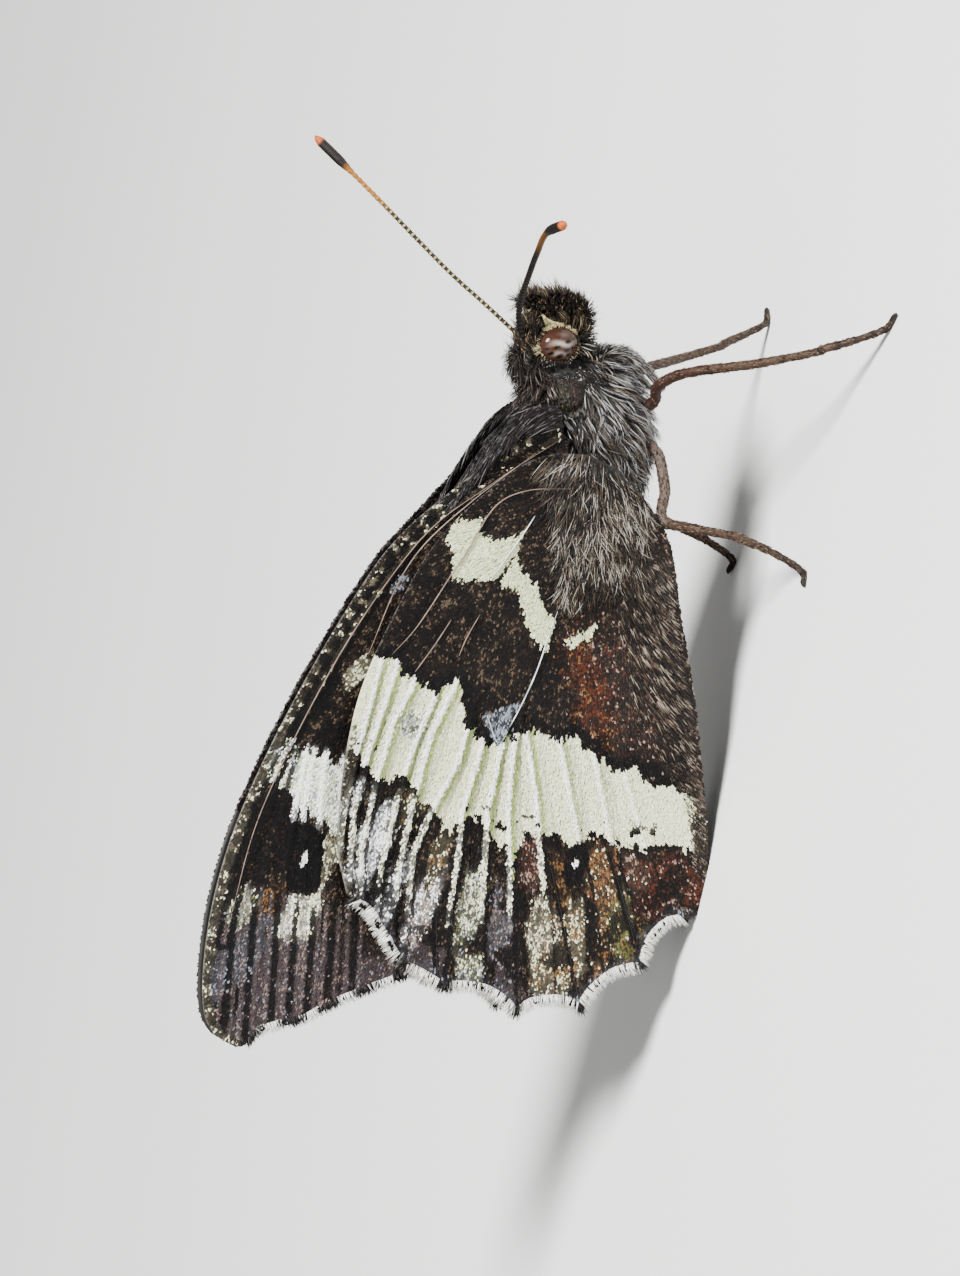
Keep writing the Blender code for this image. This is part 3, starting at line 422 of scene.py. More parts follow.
# hindwing marks
hindMarks = {
    "bandTop": [(2.6, 22.6), (2.3, 21.2), (1.8, 20.4), (2.7, 19.7), (2.8, 18.9), (3.2, 18.5), (3.3, 17.6),
                (2.7, 16.9), (2.2, 16.4), (2.9, 16.1), (3.9, 15.8), (4.6, 15.5), (5.1, 14.6), (5.6, 13.5),
                (4.9, 13.1), (4.4, 12.1), (4.0, 11.8), (4.2, 10.6), (4.0, 9.8), (3.8, 9.3), (4.4, 8.8),
                (4.8, 7.7), (5.1, 6.6), (4.7, 5.9), (5.1, 5.1), (5.4, 4.0), (5.4, 3.0), (5.8, 0.2)],
    "bandBottom": [(7.2, 22.4), (7.3, 21.1), (8.3, 20.0), (8.7, 19.2), (8.3, 18.3), (8.7, 17.2), (9.8, 15.9),
                   (10.5, 15.0), (9.4, 14.2), (10.0, 12.7), (10.9, 11.5), (12.5, 10.9), (10.7, 11.0),
                   (9.7, 10.9), (9.4, 9.9), (9.4, 8.9), (10.0, 8.0), (9.2, 7.3), (8.9, 6.6), (9.1, 5.7),
                   (8.9, 4.6), (9.1, 3.8), (8.5, 3.0), (8.5, 2.1), (8.6, 1.3), (8.7, -0.4)],
    "patches": [[(-6.0, 18.8), (-6.1, 18.1), (-6.5, 17.4), (-5.7, 17.5), (-5.4, 16.7), (-5.8, 15.6),
                 (-6.3, 15.1), (-4.9, 15.2), (-3.4, 15.9), (-3.0, 17.2), (-2.9, 18.1), (-4.2, 18.4),
                 (-4.9, 19.0)],
                [(-4.9, 15.2), (-4.2, 14.5), (-3.8, 13.7), (-3.2, 13.2), (-2.1, 12.2), (-1.8, 12.0),
                 (-0.6, 12.0), (-0.4, 12.3), (-1.0, 13.2), (-2.0, 13.8), (-3.1, 14.4), (-3.1, 15.4)],
                [(-0.9, 11.4), (-0.8, 10.5), (-1.3, 10.0), (-1.9, 9.6), (-2.3, 9.7), (-1.6, 10.4)]],
    "greyTriangle": [(3.9, 14.7), (2.7, 12.75), (5.5, 13.4)],
    "blotches": [
        (12.2, 19.1, 2.5, 0.9, "icy"), (10.1, 20.8, 1.6, 0.5, "inkIcy"), (14.9, 17.5, 3.0, 0.5, "icy"),
        (8.8, 21.1, 0.9, 0.4, "ink"), (8.2, 19.5, 1.1, 0.7, "ink"), (9.4, 17.4, 1.8, 0.8, "goldInk"),
        (12.2, 17.6, 2.2, 0.4, "ink"), (14.8, 15.4, 2.3, 0.8, "pearl"), (18.0, 14.6, 1.6, 1.0, "lilac"),
        (11.7, 15.2, 1.9, 0.5, "goldInk"), (14.3, 14.3, 2.7, 0.4, "ink"), (14.2, 12.9, 2.6, 0.7, "frost"),
        (11.2, 13.2, 0.9, 0.4, "ink"), (18.0, 12.0, 1.6, 0.8, "frost"), (11.3, 12.1, 1.6, 0.5, "umber"),
        (14.7, 11.0, 2.2, 0.7, "ash"), (17.8, 9.9, 1.9, 0.8, "lilac"), (11.4, 10.1, 1.9, 0.8, "rose"),
        (14.7, 8.4, 2.5, 0.9, "sand"), (17.0, 7.5, 1.6, 1.0, "sandGold"), (13.4, 10.2, 0.8, 0.9, "ink"),
        (11.8, 8.2, 2.1, 0.8, "umberGold"), (14.8, 6.6, 2.2, 0.7, "sandGold"), (11.3, 5.8, 2.3, 0.9, "amber"),
        (14.5, 5.2, 2.2, 0.5, "amber"), (13.5, 4.1, 2.1, 0.8, "moss"), (13.9, 5.9, 1.6, 0.3, "ink"),
        (10.3, 3.9, 1.3, 1.1, "rustPearl"), (9.9, 2.1, 1.2, 1.2, "rust"), (11.7, 2.6, 0.9, 1.4, "inkRust"),
        (14.3, 2.8, 1.4, 0.9, "mossDark"), (10.2, 0.9, 1.4, 0.7, "rust")],
    "veins": [[(-9.0, 13.3), (-8.3, 15.7), (-7.0, 17.2), (-3.9, 18.0), (0.0, 19.4), (2.0, 20.5)],
              [(3.9, 14.6), (4.8, 13.95), (5.4, 13.5)],
              [(-7.1, 14.9), (-5.3, 15.5), (-3.4, 16.1)], [(-0.6, 17.7), (1.0, 18.3), (2.6, 19.0)],
              [(-1.2, 16.2), (0.1, 16.6), (1.2, 16.8)],
              [(-2.4, 12.05), (-1.5, 12.1), (1.0, 12.3), (3.4, 12.8), (5.3, 13.4)],
              [(-10.4, 15.7), (-7.1, 18.4), (-2.8, 20.8), (2.3, 21.8)]],
    "veinTone": ["pale", "white", "white", "pale", "pale", "white", "pale"],
    "pleats": [[(2.4, 20.9), (7.1, 21.1), (10.7, 21.0), (13.9, 20.6)],
               [(2.4, 20.0), (7.4, 20.5), (10.6, 20.5), (14.3, 19.8)],
               [(2.8, 18.8), (5.3, 19.5), (8.6, 19.7), (12.6, 19.6), (15.5, 18.9)],
               [(3.2, 17.5), (6.4, 18.1), (9.5, 18.3), (12.9, 18.3), (16.4, 17.9)],
               [(2.3, 16.5), (5.6, 17.3), (8.9, 17.4), (12.8, 17.3), (17.8, 16.8)],
               [(4.8, 15.4), (6.8, 15.5), (9.6, 16.3), (12.0, 16.7), (18.2, 15.9)],
               [(3.0, 14.4), (6.0, 14.4), (9.2, 14.6), (12.0, 14.2), (18.9, 13.7)],
               [(5.5, 13.3), (8.9, 13.2), (11.7, 12.7), (15.4, 12.0), (19.2, 11.2)],
               [(5.3, 12.6), (8.7, 12.1), (11.4, 11.3), (15.1, 10.4), (19.7, 9.1)],
               [(4.3, 12.1), (7.7, 10.7), (11.0, 9.6), (14.6, 8.2), (18.6, 7.1)],
               [(4.3, 10.2), (9.6, 7.7), (12.5, 6.3), (16.9, 4.6)],
               [(4.0, 8.4), (9.6, 5.7), (12.3, 4.1), (15.4, 2.8)],
               [(4.6, 6.5), (9.7, 3.5), (12.4, 1.7)]],
    "inkLines": [[(10.4, 9.4), (14.4, 7.3), (18.7, 5.2)], [(9.6, 5.9), (14.1, 3.3), (15.4, 2.6)],
                 [(15.0, 14.7), (18.9, 13.7)]],
    "eyeSpot": (10.6, 7.6), "rust": (1.2, 9.2)}
foreMarks = {
    "paleBand": [(7.8, 26.6), (7.5, 25.0), (7.5, 24.6), (8.0, 23.8), (8.1, 23.1), (8.3, 21.6), (9.7, 20.4),
                 (12.3, 20.2), (11.7, 21.1), (11.4, 22.3), (10.4, 24.0), (9.9, 25.4), (9.4, 26.4)],
    "blotches": [
        (-2.0, 20.6, 0.7, 0.3, "icyDim"), (3.1, 21.7, 1.1, 0.5, "creamDirt"), (12.7, 24.4, 3.2, 1.5, "ink"),
        (5.5, 24.2, 2.4, 1.1, "black"), (7.0, 22.4, 1.6, 0.9, "ink"), (16.9, 24.9, 1.1, 0.8, "oliveFrost"),
        (16.7, 23.6, 1.4, 0.7, "umberGold"), (16.6, 21.7, 1.6, 1.0, "whiteCream"),
        (12.2, 20.7, 3.6, 0.6, "creamDirt"), (19.9, 24.6, 2.7, 1.0, "slate"), (21.2, 22.9, 2.7, 0.8, "lilac"),
        (20.5, 20.9, 2.5, 1.6, "lilac"), (19.6, 18.9, 2.7, 1.1, "plum"), (15.9, 20.0, 1.6, 0.7, "umber"),
        (20.0, 17.3, 1.4, 1.0, "lilac"), (22.6, 24.6, 1.8, 0.6, "ink")],
    "veins": [[(-11.4, 14.3), (-8.0, 17.6), (-4.4, 20.2), (2.7, 23.1), (11.8, 25.3), (19.0, 25.6)],
              [(-10.2, 14.3), (-3.0, 16.2), (4.5, 18.2)]],
    "veinTone": ["pale", "ink"],
    "pleats": [[(7.0, 24.3), (15.7, 25.6), (24.0, 24.4)], [(7.5, 23.9), (15.5, 24.6), (24.4, 23.1)],
               [(8.0, 23.5), (15.5, 23.3), (23.8, 21.8)], [(8.5, 23.1), (10.8, 23.0), (23.4, 20.9)],
               [(6.0, 22.5), (8.9, 22.4), (22.7, 20.0)], [(5.0, 21.3), (8.1, 21.4), (22.1, 19.0)],
               [(5.0, 20.2), (7.9, 20.3), (21.1, 17.8)], [(5.0, 18.6), (10.0, 18.4), (19.6, 15.4)]],
    "inkLines": [],
    "eyeSpot": (13.7, 22.3)}


def layOver(mix, mask, zone):
    # one zone's shares laid over the mix as far as its mask covers it
    mask = np.asarray(mask, float)[:, None]
    mix[:] = mix * (1 - mask) + zones[zone] * mask


def blotchMask(y, z, blotch, pivot, roughness):
    # a ragged oval with its long half along the wing's rays and its short half across
    by, bz, half, wide, _ = blotch
    ray = unit(np.array([by - pivot[0], bz - pivot[1]]))
    u = ((y - by) * ray[0] + (z - bz) * ray[1]) / half
    v = ((z - bz) * ray[0] - (y - by) * ray[1]) / wide
    reach = (np.abs(u) ** 2.6 + np.abs(v) ** 2.6) ** (1 / 2.6)
    return ease((1.2 - reach - roughness) / 0.45)


def pleatGaps(kind, y, z):
    # each pleat gives its height at a place's own back; the gap to it, the gap to the next nearest
    # one, and whether the place lies below it
    gaps = []
    for line in wings[kind]["marks"]["pleats"]:
        gaps.append(z - np.interp(y, *np.array(line).T))
    gaps = np.array(gaps)
    order = np.sort(np.abs(gaps), axis=0)
    nearest = np.argmin(np.abs(gaps), axis=0)
    below = np.take_along_axis(gaps, nearest[None], 0)[0] < 0
    return order[0], order[1], below


def rayNoise(kind, y, z, size, seed, outwards=0.38, about=20.0):
    # noise stretched along the wing's rays: its lattice is laid on the distance from the root and
    # on the turn about it
    pivot = wings[kind]["shape"]["pivot"]
    reach = np.hypot(y - pivot[0], z - pivot[1])
    turn = np.arctan2(z - pivot[1], y - pivot[0])
    return softNoise(reach * outwards, turn * about, size, seed)


def hindMix(y, z):
    # the hindwing's marks, from its ground up to its eye spot, each with a ragged edge
    ragged = rayNoise("hind", y, z, 0.2, 3) - 0.5
    ragged2 = softNoise(y, z, 0.9, 5) - 0.5
    jy = y + 0.6 * ragged + 0.3 * ragged2
    jz = z + 0.22 * (softNoise(y, z, 0.22, 4) - 0.5)
    ridgeGap, _, below = pleatGaps("hind", y, z)
    depth, _ = lineDistance(y, z, hindMargin)
    mix = np.tile(zones["ground"], (len(y), 1))
    layOver(mix, 0.7 * ease((softNoise(y, z, 1.1, 9) - 0.5) * 5), "umber")
    layOver(mix, 0.8 * ease((softNoise(y, z, 0.8, 19) - 0.55) * 6), "ink")
    ry, rz = y - hindMarks["rust"][0], z - hindMarks["rust"][1]
    core = ease(1.35 - np.hypot(ry / 4.0, (rz + 0.5 * ry) / 1.25) - 0.6 * ragged2)
    field = ease(1.5 - np.hypot(ry / 4.4, (rz + 2.2 + 0.5 * ry) / 1.8) + 0.4 * ragged)
    layOver(mix, field * 0.9, "pinkSpeck")
    layOver(mix, core * 0.9, "ember")
    low = (z < 8.2 - 0.58 * (y + 6.8) + 0.8 * ragged2).astype(float)
    layOver(mix, low * 0.9, "herring")
    layOver(mix, ease((y + 0.2 * z - 12.2) / 1.2 + 0.5 * ragged2), "ground")
    for blotch in hindMarks["blotches"]:
        layOver(mix, 0.95 * blotchMask(y, z, blotch, hindShape["pivot"], 0.5 * ragged + 0.3 * ragged2),
                blotch[4])
    topGap, _ = lineDistance(y, z, hindMarks["bandTop"])
    layOver(mix, 0.9 * ease((0.9 - topGap + 0.5 * ragged2) / 0.5) * (y < 7), "black")
    lowGap, _ = lineDistance(y, z, hindMarks["bandBottom"])
    layOver(mix, 0.6 * ease((0.55 - lowGap + 0.8 * ragged2) / 0.4), "ink")
    wave, _ = lineDistance(y, z, hindMargin + np.array((-2.3, 0.5)))
    wave = wave + 0.5 * np.sin(z * 2.4) + 0.8 * ragged2
    layOver(mix, 0.75 * ease((0.45 - wave) / 0.4) * (depth < 5) * (depth > 1), "ink")
    # beyond the band: a pale strip on the upper pleats' crests, partly the veins' own pale colour and partly
    # painted highlight, and a black strip just below each crest as painted shade
    outer = ease((y - 8.5) / 1.5)
    lit = ease((0.17 - ridgeGap) / 0.08) * outer * ease((15.5 - y + 2 * ragged2) / 3)
    layOver(mix, 0.75 * lit * (z > 9), "whiteCream")
    layOver(mix, 0.75 * outer * below * ease((0.16 - np.abs(ridgeGap - 0.28)) / 0.1), "black")
    band = insideLine(jy, jz, hindMarks["bandTop"] + hindMarks["bandBottom"][::-1])
    layOver(mix, band, "band")
    costal = ease((z - 3.0) / 9.0)
    # greenish painted shade on the lower side of each pleat, strongest towards the costa
    layOver(mix, band * below * 0.95 * costal * ease((0.62 - ridgeGap) / 0.3), "pleatShade")
    layOver(mix, band * 0.6 * ease(1.3 - np.hypot(y - 5.4, z - 18.4) / 1.0), "greyPatch")
    # white along each pleat's crest in the band: the veins' own white, and painted highlight on the lit
    # crests
    layOver(mix, band * 0.9 * ease((0.17 - ridgeGap) / 0.09) * (0.5 + 0.5 * costal), "ridge")
    speck = softNoise(y, z, 0.3, 8) > 0.8
    layOver(mix, band * speck * ease((1.5 - lowGap) / 0.8), "ink")
    analGap, _ = lineDistance(y, z, hindShape["anal"][:4])
    layOver(mix, 0.95 * ease((0.95 - analGap + 0.4 * ragged2) / 0.25) * (y < 11), "herring")
    for outline in hindMarks["patches"]:
        layOver(mix, insideLine(jy, jz, outline), "patch")
    layOver(mix, insideLine((y + jy) / 2, z, hindMarks["greyTriangle"]) * 0.9, "greyPatch")
    for line in hindMarks["inkLines"]:
        gap, _ = lineDistance(y, z, line)
        layOver(mix, 0.9 * ease((0.2 - gap) / 0.1), "black")
    layOver(mix, ease((1.0 - depth + 0.6 * ragged2) / 0.7) * 0.65, "slate")
    layOver(mix, 0.95 * ease((0.26 - depth + 0.1 * ragged2) / 0.1), "black")
    spot = np.hypot((y - hindMarks["eyeSpot"][0]) / 1.25, (z - hindMarks["eyeSpot"][1]) / 0.6)
    layOver(mix, ease((1.1 - spot + 0.2 * ragged) / 0.15), "black")
    dot = np.hypot((y - hindMarks["eyeSpot"][0]) / 0.26, (z - hindMarks["eyeSpot"][1] - 0.03) / 0.12)
    layOver(mix, dot < 1, "ridge")
    costaGap, _ = lineDistance(y, z, hindShape["costa"])
    layOver(mix, 0.6 * ease((0.5 - costaGap) / 0.3) * (y > 6), "costaSpeck")
    return mix


def foreMix(y, z):
    # the forewing's marks, from its ground up to its eye spot
    ragged = rayNoise("fore", y, z, 0.2, 13) - 0.5
    ragged2 = softNoise(y, z, 0.9, 15) - 0.5
    jy = y + 0.6 * ragged + 0.2 * ragged2
    jz = z + 0.22 * (softNoise(y, z, 0.22, 14) - 0.5)
    ridgeGap, _, _ = pleatGaps("fore", y, z)
    mix = np.tile(zones["umber"], (len(y), 1))
    layOver(mix, ease((y - 17.2 + ragged2) / 1.4), "lilac")
    for blotch in foreMarks["blotches"]:
        layOver(mix, blotchMask(y, z, blotch, foreShape["pivot"], 0.5 * ragged + 0.3 * ragged2),
                blotch[4])
    outer = ease((y - 15.0) / 1.5)
    layOver(mix, 0.5 * outer * ease((0.16 - np.abs(ridgeGap - 0.36)) / 0.1), "silver")
    layOver(mix, 0.9 * outer * ease((0.2 - ridgeGap) / 0.1), "black")
    layOver(mix, insideLine(jy, jz, foreMarks["paleBand"]), "paleBand")
    streak = ease((0.2 - ridgeGap) / 0.1) * ease((y - 7.4) / 0.6) * ease((12.5 - y) / 1.5)
    layOver(mix, 0.9 * streak * (z < 23.6), "ridge")
    layOver(mix, 0.8 * streak * (z >= 23.6), "black")
    costaGap, share = lineDistance(y, z, smoothLine(foreShape["costa"], 40))
    far = ease((y - 2.0) / 6.0)
    layOver(mix, 0.95 * (1 - far) * ease((1.3 - costaGap + 0.5 * ragged) / 0.3), "costaRoot")
    layOver(mix, 0.95 * far * ease((0.7 - costaGap + 0.5 * ragged) / 0.3), "costaSpeck")
    check = np.sin(share * 240 + 3.5 * ragged2 + 1.2 * ragged)
    strip = ease((0.36 - np.abs(costaGap - 0.5 + 0.15 * far + 0.5 * ragged2)) / 0.15) * (1 - 0.6 * far)
    layOver(mix, 0.75 * strip, "black")
    fleck = ease((check - 0.6 * softNoise(y, z, 0.7, 17)) / 0.3)
    layOver(mix, 0.9 * strip * fleck, "fleck")
    for line in foreMarks["veins"]:
        gap, _ = lineDistance(y, z, smoothLine(line, 24))
        layOver(mix, 0.85 * ease((0.2 - np.abs(gap - 0.3)) / 0.1), "black")
    cy, cz = foreMarks["eyeSpot"]
    spot = (np.abs((y - cy) / 1.9) ** 4 + np.abs((z - cz + 0.18 * (y - cy)) / 1.05) ** 4) ** 0.25
    layOver(mix, ease((1.05 - spot + 0.12 * ragged) / 0.1), "black")
    dot = np.hypot((y - cy) / 0.48, (z - cz) / 0.15)
    layOver(mix, dot < 1, "ridge")
    depth, _ = lineDistance(y, z, foreMargin)
    layOver(mix, 0.9 * ease((0.3 - depth) / 0.12), "black")
    return mix


hindLine, hindOn, hindOut = wingOutline(hindShape, wingSize["around"], wingSize["fringe"])
foreLine, foreOn, foreOut = wingOutline(foreShape, wingSize["around"], wingSize["fringe"])
hindMargin = hindLine[hindOn > 0.3]
foreMargin = foreLine[foreOn > 0.3]
wingMargin = {"fore": foreMargin, "hind": hindMargin}
wings = {"fore": {"shape": foreShape, "marks": foreMarks, "side": foreSide, "mix": foreMix,
                  "line": foreLine, "on": foreOn, "out": foreOut, "slot": "forewing"},
         "hind": {"shape": hindShape, "marks": hindMarks, "side": hindSide, "mix": hindMix,
                  "line": hindLine, "on": hindOn, "out": hindOut, "slot": "hindwing"}}


def relief(kind, y, z):
    # pleats rise as ease between a pleat, at full height, and the valley half way to the next one:
    # height*(next - gap)/(next + gap); each vein adds a low bell-shaped ridge
    shape = np.shape(y)
    y, z = np.ravel(y), np.ravel(z)
    ridgeGap, nextGap, _ = pleatGaps(kind, y, z)
    start, height = (1.0, 0.4) if kind == "hind" else (8.0, 0.2)
    lessen = 1 - 0.45 * ease((9.0 - z) / 5.0) if kind == "hind" else 1.0
    rise = height * lessen * ease((y - start) / 4.0) * (nextGap - ridgeGap) / (nextGap + ridgeGap + 0.12)
    for line in wings[kind]["marks"]["veins"]:
        gap, _ = lineDistance(y, z, smoothLine(line, 16))
        rise = np.maximum(rise, 0.11 * np.exp(-(gap / 0.2) ** 2))
    return rise.reshape(shape)


def wingUv(kind, y, z):
    # the wing laid flat: its own back and up, shrunk to fit the unit square
    centre = wings[kind]["shape"]["centre"]
    return np.stack([0.5 + (y - centre[0]) / 44, 0.5 + (z - centre[1]) / 44], -1)


def fromLot(colours, edges, lot):
    # one of a few screen colours for each lot from 0 to 1
    return np.array([rgb(*colour) for colour in colours])[np.digitize(lot, edges)]


def meanTint(mix):
    return mix @ paletteColours


def pickTint(kind, mix, y, z, seed):
    # each scale takes one colour of its zone: by a lot of its own, or by one that it shares with its
    # neighbours in short bars across the wing's rays
    shared = 0.6 * rayNoise(kind, y, z, 0.24, seed, 1.0, 9.0) + 0.4 * softNoise(y, z, 0.3, seed + 1)
    shared = np.argsort(np.argsort(shared + 0.1 * dice.random(len(y)))) / len(y)
    lot = np.where(dice.random(len(y)) < 0.56, dice.random(len(y)), shared)
    chosen = (np.cumsum(mix, 1) < lot[:, None]).sum(1).clip(0, len(paletteNames) - 1)
    pale = mix[:, [paletteNames.index(name) for name in ("cream", "leaf", "white")]].sum(1)
    dusky = ease((mix[:, paletteNames.index("lilac")] - 0.1) / 0.2)
    even = (0.22 + 0.5 * ease((pale - 0.75) / 0.2) + 0.34 * dusky)[:, None]
    tint = paletteColours[chosen] * (1 - even) + meanTint(mix) * even
    return tint * (0.8 + 0.4 * dice.random(len(y)))[:, None]


def makeMembrane(kind, label, node, sign):
    # outer and inner faces as one grid each, from the wing's centre out to its outline: place =
    # centre + ray * share, thinned to an edge at the outline, where the two faces join
    wing = wings[kind]
    around, across = wingSize["around"], wingSize["across"]
    share = np.linspace(0, 1, across + 1)[1:, None, None] ** 0.8
    centre = np.array(wing["shape"]["centre"])
    flat = (centre + (wing["line"] - centre)[None] * share).reshape(-1, 2)
    flat = np.vstack([flat, centre])
    y, z = flat[:, 0], flat[:, 1]
    gap = np.append((1 - share[:, 0, 0]).repeat(around) * 8, 8.0)
    half = (wingSize["thick"] / 2 - wingSize["sunk"]) * (0.35 + 0.65 * ease(gap / 0.8))
    rise = relief(kind, y, z) * ease(gap / 0.6)
    side = wing["side"](y, z)
    outer = np.stack([sign * (side + half + rise), y, z], 1)
    inner = np.stack([sign * (side - half + rise * 0.6), y, z], 1)
    quads = gridQuads(across, around, True)
    pole = len(flat) - 1
    ring = np.arange(around)
    fan = np.stack([np.full(around, pole), np.roll(ring, -1), ring], 1)
    last = (across - 1) * around + ring
    after = np.roll(last, -1)
    count = len(flat)
    rimQuads = np.stack([last, after, after + count, last + count], 1)
    quads = np.vstack([quads, quads[:, ::-1] + count, rimQuads])
    tris = np.vstack([fan, fan[:, ::-1] + count])
    tint = meanTint(wing["mix"](y, z)) * 0.8
    innerTint = meanTint(np.tile(zones["farWing"], (count, 1)))
    streak = rayNoise(kind, y, z, 0.3, 31, 0.35, 40.0)
    innerTint = innerTint * (0.25 + 2.4 * streak ** 3)[:, None]
    piece = buildPiece(kind + "wing" + label, np.vstack([outer, inner]), quads, tris,
                       np.vstack([tint, innerTint]))
    piece.data.materials.append(membraneFinish)
    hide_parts(kind + "wing_" + node)


scaleSize = {"spacing": 0.096, "length": 0.256, "width": 0.129, "keel": 0.014, "tilt": 0.035}


def innerShown(y, z):
    gap, _ = lineDistance(y, z, foreShape["costa"])
    return (gap < 2.0) & (y < 12)


def innerMix(y, z):
    # dark silky brown in streaks along the wing's rays
    streak = rayNoise("fore", y, z, 0.3, 33, 0.3, 60.0)
    mix = np.tile(zones["farWing"], (len(y), 1))
    layOver(mix, 0.8 * ease((streak - 0.45) / 0.2), "black")
    layOver(mix, ease((streak - 0.72) / 0.1), "lilac")
    return mix


def makeScales(kind, label, sign, shown, part, wanted, face=1.0):
    # each scale is a keeled kite of four faces: root, two corners and a raised tip; it lies along
    # the wing's ray from the root and its tip stands a little off the membrane; face -1 is the inner one
    wing = wings[kind]
    step = scaleSize["spacing"]
    low, high = wing["line"].min(0), wing["line"].max(0)
    gy, gz = np.meshgrid(np.arange(low[0], high[0], step), np.arange(low[1], high[1], step * 0.87))
    gy = gy + step / 2 * (np.arange(gy.shape[0])[:, None] % 2)
    y = gy.ravel() + dice.uniform(-0.35, 0.35, gy.size) * step
    z = gz.ravel() + dice.uniform(-0.35, 0.35, gy.size) * step
    keep = wanted(y) & insideLine(y, z, wing["line"][::2]) & shown(y, z)
    y, z = y[keep], z[keep]
    pivot = wing["shape"]["pivot"]
    ray = unit(np.stack([y - pivot[0], z - pivot[1]], 1))
    turn = dice.normal(0, 0.2, len(y))
    ray = turned(ray, turn)
    size = dice.uniform(0.8, 1.2, len(y))
    tip = np.stack([y, z], 1) + ray * (size * scaleSize["length"] * 0.8)[:, None]
    keep = insideLine(tip[:, 0], tip[:, 1], wing["line"]) | (lineDistance(y, z, wingMargin[kind])[0] < 0.3)
    y, z, ray, size = y[keep], z[keep], ray[keep], size[keep]
    cross = quarterTurn(ray)
    form = np.array([(0.0, 0.0, 0.0), (0.78, 1.0, 0.6), (1.0, 0.0, 1.0), (0.78, -1.0, 0.6)])
    reach = form[None, :, 0] * scaleSize["length"] * size[:, None]
    wide = form[None, :, 1] * scaleSize["width"] / 2 * size[:, None]
    py = y[:, None] + ray[:, :1] * reach + cross[:, :1] * wide
    pz = z[:, None] + ray[:, 1:] * reach + cross[:, 1:] * wide
    lift = form[None, :, 2] * scaleSize["tilt"] * dice.uniform(0.5, 1.5, len(y))[:, None]
    keel = np.array([0.0, 0.0, 1.0, 0.0])[None] * scaleSize["keel"]
    base = wingSize["thick"] / 2 + (relief(kind, y, z) if face > 0 else -0.6 * relief(kind, y, z))[:, None]
    outward = face * (base + lift + keel)
    places = np.stack([sign * (wing["side"](py, pz) + outward), py, np.maximum(pz, 0.02)], -1)
    start = np.arange(len(y))[:, None, None] * 4
    faces = np.array([(0, 1, 2), (0, 2, 3), (0, 3, 1), (1, 3, 2)])
    tint = pickTint(kind, wing["mix"](y, z) if face > 0 else innerMix(y, z), y, z, 41)
    uv = wingUv(kind, y, z)[:, None, :] + np.stack([form[:, 1], form[:, 0] * 2 - 1], 1)[None] * 0.0015
    piece = buildPiece(kind + "wingScales" + part + label, places, None, (start + faces).reshape(-1, 3),
                       np.repeat(tint, 4, 0), uv, smooth=False)
    piece.data.materials.append(scaleFinish)
    return len(y)


def followers(places, share):
    # each hair follows the nearest of a few leading hairs, found for a slice of them at a time
    lead = dice.choice(len(places), max(4, int(len(places) * share)), replace=False)
    nearest = np.empty(len(places), int)
    for start in range(0, len(places), 1500):
        gap = ((places[start:start + 1500, None] - places[lead][None]) ** 2).sum(-1)
        nearest[start:start + 1500] = lead[np.argmin(gap, 1)]
    return nearest


def gather(paths, lead, low, high):
    # hairs of a tuft draw together towards their leader's tip: place += (leader - place)*pull*t^1.5
    t = np.linspace(0, 1, paths.shape[1])[None, :, None]
    pull = dice.uniform(low, high, len(paths))[:, None, None]
    return paths + (paths[lead] - paths) * pull * t ** 1.5


def hairMesh(name, paths, across, width, tint, rootUv, shadeRoot=0.5):
    # a three-sided hair per path: rings of three corners that shrink to a single tip
    count, stations = paths.shape[:2]
    heading = unit(np.gradient(paths, axis=1))
    across = unit(across[:, None, :] - heading * np.sum(across[:, None, :] * heading, -1, keepdims=True))
    rise = np.cross(heading, across)
    taper = np.array([1.0, 0.95, 0.65, 0.4])[:stations - 1] if stations > 3 else np.array([1.0, 0.75])
    half = (np.broadcast_to(width, count)[:, None] * taper[None])[:, :, None, None] / 2
    corners = np.array([(-1.0, -0.5), (1.0, -0.5), (0.0, 1.0)])
    rings = (paths[:, :-1, None, :] + across[:, :-1, None, :] * corners[:, 0][None, None, :, None] * half
             + rise[:, :-1, None, :] * corners[:, 1][None, None, :, None] * half)
    per = (stations - 1) * 3 + 1
    places = np.concatenate([rings.reshape(count, -1, 3), paths[:, -1:, :]], 1)
    quads = gridQuads(stations - 1, 3, True)
    lastRing = (stations - 2) * 3
    tris = np.array([(lastRing, lastRing + 1, per - 1), (lastRing + 1, lastRing + 2, per - 1),
                     (lastRing + 2, lastRing, per - 1), (2, 1, 0)])
    start = np.arange(count)[:, None, None] * per
    rows = np.concatenate([np.arange(stations - 1).repeat(3), [stations - 1]]) / (stations - 1)
    columns = np.concatenate([np.tile([-1, 1, 0], stations - 1), [0]])
    uv = np.clip(rootUv, 0.002, 0.998)[:, None] + np.stack([columns, rows * 2 - 1], 1)[None] * 0.0015
    # each hair's tint runs from shadeRoot at its root to 1.15 at its tip: painted shade deep in the coat and
    # painted light on the tips
    shade = np.repeat(tint[:, None, :], per, 1) * (shadeRoot + (1.15 - shadeRoot) * rows)[None, :, None]
    piece = buildPiece(name, places, (start + quads).reshape(-1, 4), (start + tris).reshape(-1, 3),
                       shade.reshape(-1, 3), uv)
    piece.data.materials.append(hairFinish)


veinSize = {"radius": {"pale": 0.034, "white": 0.036, "ink": 0.02},
            "tone": {"pale": (122, 103, 90), "white": (222, 230, 238), "ink": (8, 7, 12)}}


